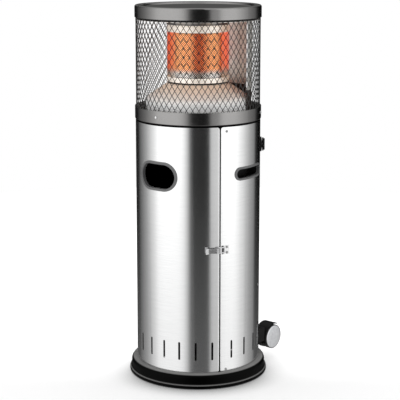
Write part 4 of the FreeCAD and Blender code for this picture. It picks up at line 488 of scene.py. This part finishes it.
# Painted shade: faces that point up are dark and not metallic.
tree.links.new(swap(tree, painted_shade_on_top, 1.0, 0.0), shader.inputs["Metallic"])
shader.inputs["Specular IOR Level"].default_value = 0.0
colour_by(tree, shader, swap(tree, painted_shade_on_top, flakes, 0.0),
          (0.0, (0.07, 0.07, 0.068)), (0.22, (0.20, 0.197, 0.194)), (0.7, (0.28, 0.274, 0.27)))
roughen(tree, shader, patches, 0.15, 0.2)
emboss(tree, shader, mottle(tree, place_on(tree), 0.002, 2.0), 0.00003)
dress(dark_coat, "guard_ring", "lid")

# The burner: a stand of plain steel that heat has dulled and tinted straw and blue, with a cup
# and a flame tube that it has scaled brown, over a mixer tube cast in iron. The cup is near black
# like the flame tube, so that the gap under the emitter shows as painted shade. The lid's spacers
# are tinted like the stand.
tinted, tree, shader = start_finish("heat_dulled_steel", 1.0, 0.42)
heat = mottle(tree, place_on(tree, (1, 1, 1.6)), 0.05, 4.0)
colour_by(tree, shader, heat,
          (0.3, (0.33, 0.27, 0.22)), (0.5, (0.36, 0.34, 0.32)), (0.7, (0.24, 0.25, 0.3)))
roughen(tree, shader, heat, 0.34, 0.52)
dress(tinted, "lid_spacers", "burner_stand")
# Near black: on the cup and on the reflector's foot strip this is painted shade.
scale_and_painted_shade, tree, shader = start_finish("scaled_steel_and_painted_shade", 0.3, 0.7)
scale = mottle(tree, place_on(tree, (1, 1, 0.5)), 0.03, 3.0)
colour_by(tree, shader, scale, (0.3, (0.010, 0.006, 0.004)), (0.7, (0.03, 0.014, 0.008)))
dress(scale_and_painted_shade, "flame_tube", "burner_cup")
iron, tree, shader = start_finish("cast_mixer_iron", 0.7, 0.65)
sand = mottle(tree, place_on(tree), 0.0015, 4.0)
colour_by(tree, shader, sand, (0.3, (0.10, 0.10, 0.10)), (0.7, (0.22, 0.21, 0.20)))
emboss(tree, shader, sand, 0.0002)
dress(iron, "mixer_tube")

# The gas train: injector, valve, nipple and feed pipe are of brass, turned and screwed together.
# The knob's spindle in the valve is of dull steel.
brass, tree, shader = start_finish("turned_brass", 1.0, 0.3)
tarnish = mottle(tree, place_on(tree), 0.006, 4.0)
colour_by(tree, shader, tarnish, (0.3, (0.42, 0.28, 0.11)), (0.7, (0.72, 0.53, 0.24)))
roughen(tree, shader, tarnish, 0.22, 0.45)
dress(brass, "injector", "gas_valve", "inlet_nipple", "feed_pipe")
dress(dull, "valve_spindle")

# The spark electrode and the thermocouple stand beside the burner: one is a rod in glazed
# ceramic, the other a probe of drawn steel. The casters' pins are drawn from like steel.
glaze, tree, shader = start_finish("glazed_ceramic", 0.0, 0.25)
soot = mottle(tree, place_on(tree), 0.01, 4.0)
colour_by(tree, shader, soot, (0.3, (0.55, 0.5, 0.44)), (0.6, (0.82, 0.8, 0.76)))
dress(glaze, "spark_electrode")
probe, tree, shader = start_finish("drawn_probe_steel", 1.0, 0.28)
drawn = mottle(tree, place_on(tree), 0.004, 4.0)
colour_by(tree, shader, drawn, (0.3, (0.5, 0.49, 0.48)), (0.7, (0.68, 0.67, 0.66)))
roughen(tree, shader, drawn, 0.2, 0.36)
dress(probe, "thermocouple", "caster_pins_right", "caster_pins_left")

# The skirt: a cone under the emitter, spun from bright aluminium-coated sheet that throws the
# heat forward. Its top, nearest the emitter, is painted straw as the emitter's orange glow
# falling on it.
skirt_low, skirt_high = (corner.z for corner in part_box("burner_skirt"))
painted_glow_from = skirt_low + 0.045
satin, tree, shader = start_finish("satin_skirt_sheet", 0.12, 0.4)
_, _, height = axes_of(tree, place_on(tree))
# Painted light: the emitter's glow, straw towards the top of the cone.
painted_glow = fade(tree, painted_glow_from, skirt_high, 0.0, 1.0, height)
dents = mottle(tree, place_on(tree), 0.05, 2.0)
spinning = mottle(tree, place_on(tree, (0.02, 0.02, 1.0)), 0.0014, 2.0)
colour_by(tree, shader, painted_glow, (0.0, (0.97, 0.97, 0.97)), (1.0, (0.93, 0.72, 0.56)))
roughen(tree, shader, swap(tree, dents, spinning, 0.5), 0.34, 0.46)
emboss(tree, shader, dents, 0.0006, 0.5)
dress(satin, "burner_skirt")


# The reflector and the lid's liner: a half round sheet behind the emitter and a disc over it,
# of the same bright sheet, rolled and pressed. The reflector's two edges are hemmed, and the hems'
# near-white finish paints highlight lines on them. A near-black strip closes the gap between its
# foot and the deck as painted shade.
def roll_tube(name, radius, low, high):
    """An upright tube about the drum's axis, of sheet that has no thickness as yet."""
    bpy.ops.object.select_all(action="DESELECT")
    bpy.ops.mesh.primitive_cylinder_add(vertices=128, radius=radius, depth=high - low,
                                        end_fill_type="NOTHING", location=(0, 0, (low + high) / 2))
    tube = bpy.context.object
    tube.name = name
    bpy.ops.object.transform_apply(location=True, rotation=True, scale=True)
    return tube


def round_edges(piece, width):
    """Rounds a sheet's edges over, and shades its faces smooth."""
    edge = piece.modifiers.new("edge", "BEVEL")
    edge.width, edge.segments = width, 2
    bpy.ops.object.modifier_apply(modifier="edge")
    bpy.ops.object.shade_smooth_by_angle(angle=math.radians(40))


mirror, tree, shader = start_finish("bright_reflector_sheet", 0.6, 0.32)
rolling = mottle(tree, place_on(tree, (1.0, 1.0, 0.02)), 0.0012, 2.0)
ripples = mottle(tree, place_on(tree, (1.0, 1.0, 0.3)), 0.06, 2.0)
colour_by(tree, shader, rolling, (0.3, (0.74, 0.71, 0.66)), (0.7, (0.83, 0.80, 0.75)))
roughen(tree, shader, ripples, 0.28, 0.36)
dress(mirror, "rear_reflector", "lid_liner")
reflector_low, reflector_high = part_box("rear_reflector")
reflector_edge = math.acos(-reflector_low.y / reflector_high.y)
hem_thick, hem_sunk, hem_short = 0.0024, 0.0004, 0.0005
right_hem = stand_bead("reflector_hem_right", reflector_high.y - hem_sunk,
                       reflector_low.z + hem_short, reflector_high.z - hem_short, hem_thick)
left_hem = copy_piece(right_hem, "reflector_hem_left")
for hem, bearing in ((right_hem, reflector_edge), (left_hem, -reflector_edge)):
    finish_as(turn_piece(hem, bearing), hem_highlight_finish, "root", "bright_sheet")
# Painted shade: the foot strip is near black.
foot_lap, foot_sunk, foot_thick, foot_rounding = 0.002, 0.0008, 0.001, 0.0003
foot = roll_tube("reflector_foot", reflector_high.y - foot_sunk,
                 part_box("deck_plate")[1].z, reflector_low.z + foot_lap)
bpy.ops.object.mode_set(mode="EDIT")
bpy.ops.mesh.select_all(action="SELECT")
bpy.ops.mesh.bisect(plane_co=(0, reflector_low.y, 0), plane_no=(0, 1, 0), clear_inner=True)
bpy.ops.object.mode_set(mode="OBJECT")
give_wall(foot, foot_thick, -1)
round_edges(foot, foot_rounding)
finish_as(foot, scale_and_painted_shade, "root", "bright_sheet")


# The emitter: a tube of steel sheet punched with some 3,300 small holes in staggered rows, with
# a plain band at each end and a cap. It glows orange while the heater burns, apart from its
# foot, which stays cooler. The steel's orange colour above the foot is a painted reflection of
# the glow, its red edge tint is painted shade at the tube's sides, and the foot is painted pale
# with a faint painted glow.
def roll_net(name, radius, around, tall, lowest, rows, bare):
    """One four-cornered cell with a hole and a rim, bare wide, repeated up and round a tube."""
    bpy.ops.object.select_all(action="DESELECT")
    bpy.ops.mesh.primitive_circle_add(vertices=4, radius=1.0, fill_type="NGON")
    net = bpy.context.object
    net.name = name
    net.rotation_euler = (math.pi / 2, 0, 0)
    net.scale = (math.pi * radius / around, tall / 2, 1)
    net.location = (0, -radius, lowest)
    bpy.ops.object.transform_apply(location=True, rotation=True, scale=True)
    bpy.ops.object.mode_set(mode="EDIT")
    bpy.ops.mesh.select_all(action="SELECT")
    bpy.ops.mesh.inset(thickness=bare, depth=0)
    bpy.ops.mesh.delete(type="ONLY_FACE")
    bpy.ops.object.mode_set(mode="OBJECT")
    column = net.modifiers.new("column", "ARRAY")
    column.use_relative_offset = False
    column.use_constant_offset = True
    column.constant_offset_displace = (0, 0, tall)
    column.count = rows
    bpy.ops.object.modifier_apply(modifier="column")
    bpy.ops.object.mode_set(mode="EDIT")
    bpy.ops.mesh.select_all(action="SELECT")
    bpy.ops.mesh.duplicate()
    bpy.ops.transform.translate(value=(0, 0, tall / 2))
    bpy.ops.transform.rotate(value=math.pi / around, orient_axis="Z", center_override=(0, 0, 0))
    bpy.ops.mesh.select_all(action="SELECT")
    bpy.ops.mesh.spin(steps=around - 1, dupli=True, angle=math.tau * (around - 1) / around,
                      center=(0, 0, 0), axis=(0, 0, 1))
    bpy.ops.mesh.select_all(action="SELECT")
    bpy.ops.mesh.remove_doubles(threshold=bare * 0.5)
    bpy.ops.object.mode_set(mode="OBJECT")
    return net


emitter_low, emitter_high = (corner.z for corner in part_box("emitter_screen"))
emitter_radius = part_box("emitter_screen")[1].x
plain_foot, under_bands = 0.015, 0.0004
holes_round, hole_rows, hole_pitch, hole_rim = 86, 19, 0.00702, 0.00066
holes_low = emitter_low + plain_foot
holes_high = holes_low + hole_pitch * (hole_rows + 0.5)
pale_to, glow_from = emitter_low + 0.026, emitter_low + 0.046
punched = roll_net("emitter_punched", emitter_radius - under_bands, holes_round, hole_pitch,
                   holes_low + hole_pitch / 2, hole_rows, hole_rim)
glowing, tree, shader = start_finish("glowing_punched_steel", 1.0, 0.3)
_, _, height = axes_of(tree, place_on(tree))
glow_and_painted_warmth = fade(tree, pale_to, glow_from, 0.0, 1.0, height)
streaks = mottle(tree, place_on(tree, (1, 1, 0.4)), 0.02, 3.0)
# Painted reflection of the glow: the steel's colour turns orange above the foot.
colour_by(tree, shader, glow_and_painted_warmth, (0.0, (1.0, 0.98, 0.95)), (1.0, (1.0, 0.6, 0.26)))
# Painted shade: a red edge tint darkens the tube's sides.
shader.inputs["Specular Tint"].default_value = (0.4, 0.03, 0.01, 1)
# The glow above the foot is real; at the foot the emission is a faint painted glow.
glow_and_painted_light = tones(tree, glow_and_painted_warmth,
               (0.0, (0.12, 0.09, 0.06)), (0.5, (0.36, 0.035, 0.004)), (1.0, (0.6, 0.035, 0.001)))
tree.links.new(glow_and_painted_light, shader.inputs["Emission Color"])
tree.links.new(fade(tree, 0.3, 0.7, 0.85, 1.15, streaks), shader.inputs["Emission Strength"])
finish_as(punched, glowing, "root", "emitter_steel", "emitter_screen")

band_steel_painted_glow, tree, shader = start_finish("emitter_band_painted_glow", 0.5, 0.42)
tint = mottle(tree, place_on(tree, (1, 1, 3)), 0.03, 3.0)
colour_by(tree, shader, tint, (0.3, (0.94, 0.91, 0.86)), (0.7, (0.98, 0.96, 0.93)))
# Painted light: the plain bands are given a faint warm emission.
shader.inputs["Emission Color"].default_value = (1.0, 0.75, 0.5, 1)
shader.inputs["Emission Strength"].default_value = 0.2
band_thick, band_lap = 0.0012, 0.0002
for name, low, high in (("emitter_band_low", emitter_low, holes_low + band_lap),
                        ("emitter_band_high", holes_high - band_lap, emitter_high)):
    band = roll_tube(name, emitter_radius, low, high)
    give_wall(band, band_thick, -1)
    round_edges(band, band_thick * 0.35)
    finish_as(band, band_steel_painted_glow, "root", "emitter_steel")
dress(tinted, "emitter_cap")

# The guard: a cage of flattened expanded steel, cut and drawn into tall diamonds and rolled
# into a tube, which stands in the ring and ends under the lid. It has a dark coat outside, and
# is a pale grey on its inner faces.
guard_low, guard_high = (corner.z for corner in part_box("guard_mesh"))
net_radius, diamonds_round, diamond_rows, strand, net_thick = 0.1916, 66, 11, 0.00085, 0.0013
diamond = (guard_high - guard_low) / (diamond_rows + 0.5)
cage = roll_net("guard_net", net_radius, diamonds_round, diamond, guard_low + diamond / 2,
                diamond_rows, strand)
give_wall(cage, net_thick, -1)
guard_coat, tree, shader = start_finish("guard_dark_coat", 0.0, 0.5)
chips = mottle(tree, place_on(tree), 0.004, 4.0)
# Outward is the net's radius on the outer faces, minus that on the inner ones, and about zero
# on the sides of the strands.
outward = work_out(tree, "VectorMath", "DOT_PRODUCT",
                   tree.nodes.new("ShaderNodeNewGeometry").outputs["Normal"],
                   place_on(tree, (1.0, 1.0, 0.0)))
on_inner_faces = fade(tree, -0.14, -0.08, 1.0, 0.0, outward)
colour_by(tree, shader, swap(tree, on_inner_faces, fade(tree, 0.35, 0.7, 0.0, 0.2, chips), 1.0),
          (0.0, (0.016, 0.016, 0.016)), (0.2, (0.032, 0.031, 0.03)), (1.0, (0.46, 0.455, 0.445)))
roughen(tree, shader, chips, 0.42, 0.56)
finish_as(cage, guard_coat, "root", "guard_metal", "guard_mesh")

# The knob: a ribbed push and turn knob of black plastic on the valve's stem, in a black bezel
# that is riveted to the shell.
dress(moulding, "knob_bezel", "control_knob")

# The casters: twin-wheel furniture casters on brackets behind the drum, which carry the heater
# when it is tipped back. Hoods and wheels are black plastic, with silver discs in the wheels.
dress(moulding, "caster_bracket_right", "caster_bracket_left",
      "caster_hood_right", "caster_hood_left")
tread, tree, shader = start_finish("black_wheel_plastic", 0.0, 0.55)
scrapes = mottle(tree, place_on(tree), 0.005, 5.0)
colour_by(tree, shader, scrapes, (0.35, (0.013, 0.013, 0.013)), (0.75, (0.03, 0.03, 0.03)))
roughen(tree, shader, scrapes, 0.42, 0.68)
dress(tread, "wheel_right_outer", "wheel_right_inner", "wheel_left_outer", "wheel_left_inner")
disc, tree, shader = start_finish("silver_wheel_disc", 0.55, 0.35)
haze = mottle(tree, place_on(tree), 0.008, 4.0)
colour_by(tree, shader, haze, (0.3, (0.58, 0.585, 0.6)), (0.7, (0.70, 0.705, 0.72)))
roughen(tree, shader, haze, 0.28, 0.42)
dress(disc, "wheel_cap_right_outer", "wheel_cap_right_inner",
      "wheel_cap_left_outer", "wheel_cap_left_inner")
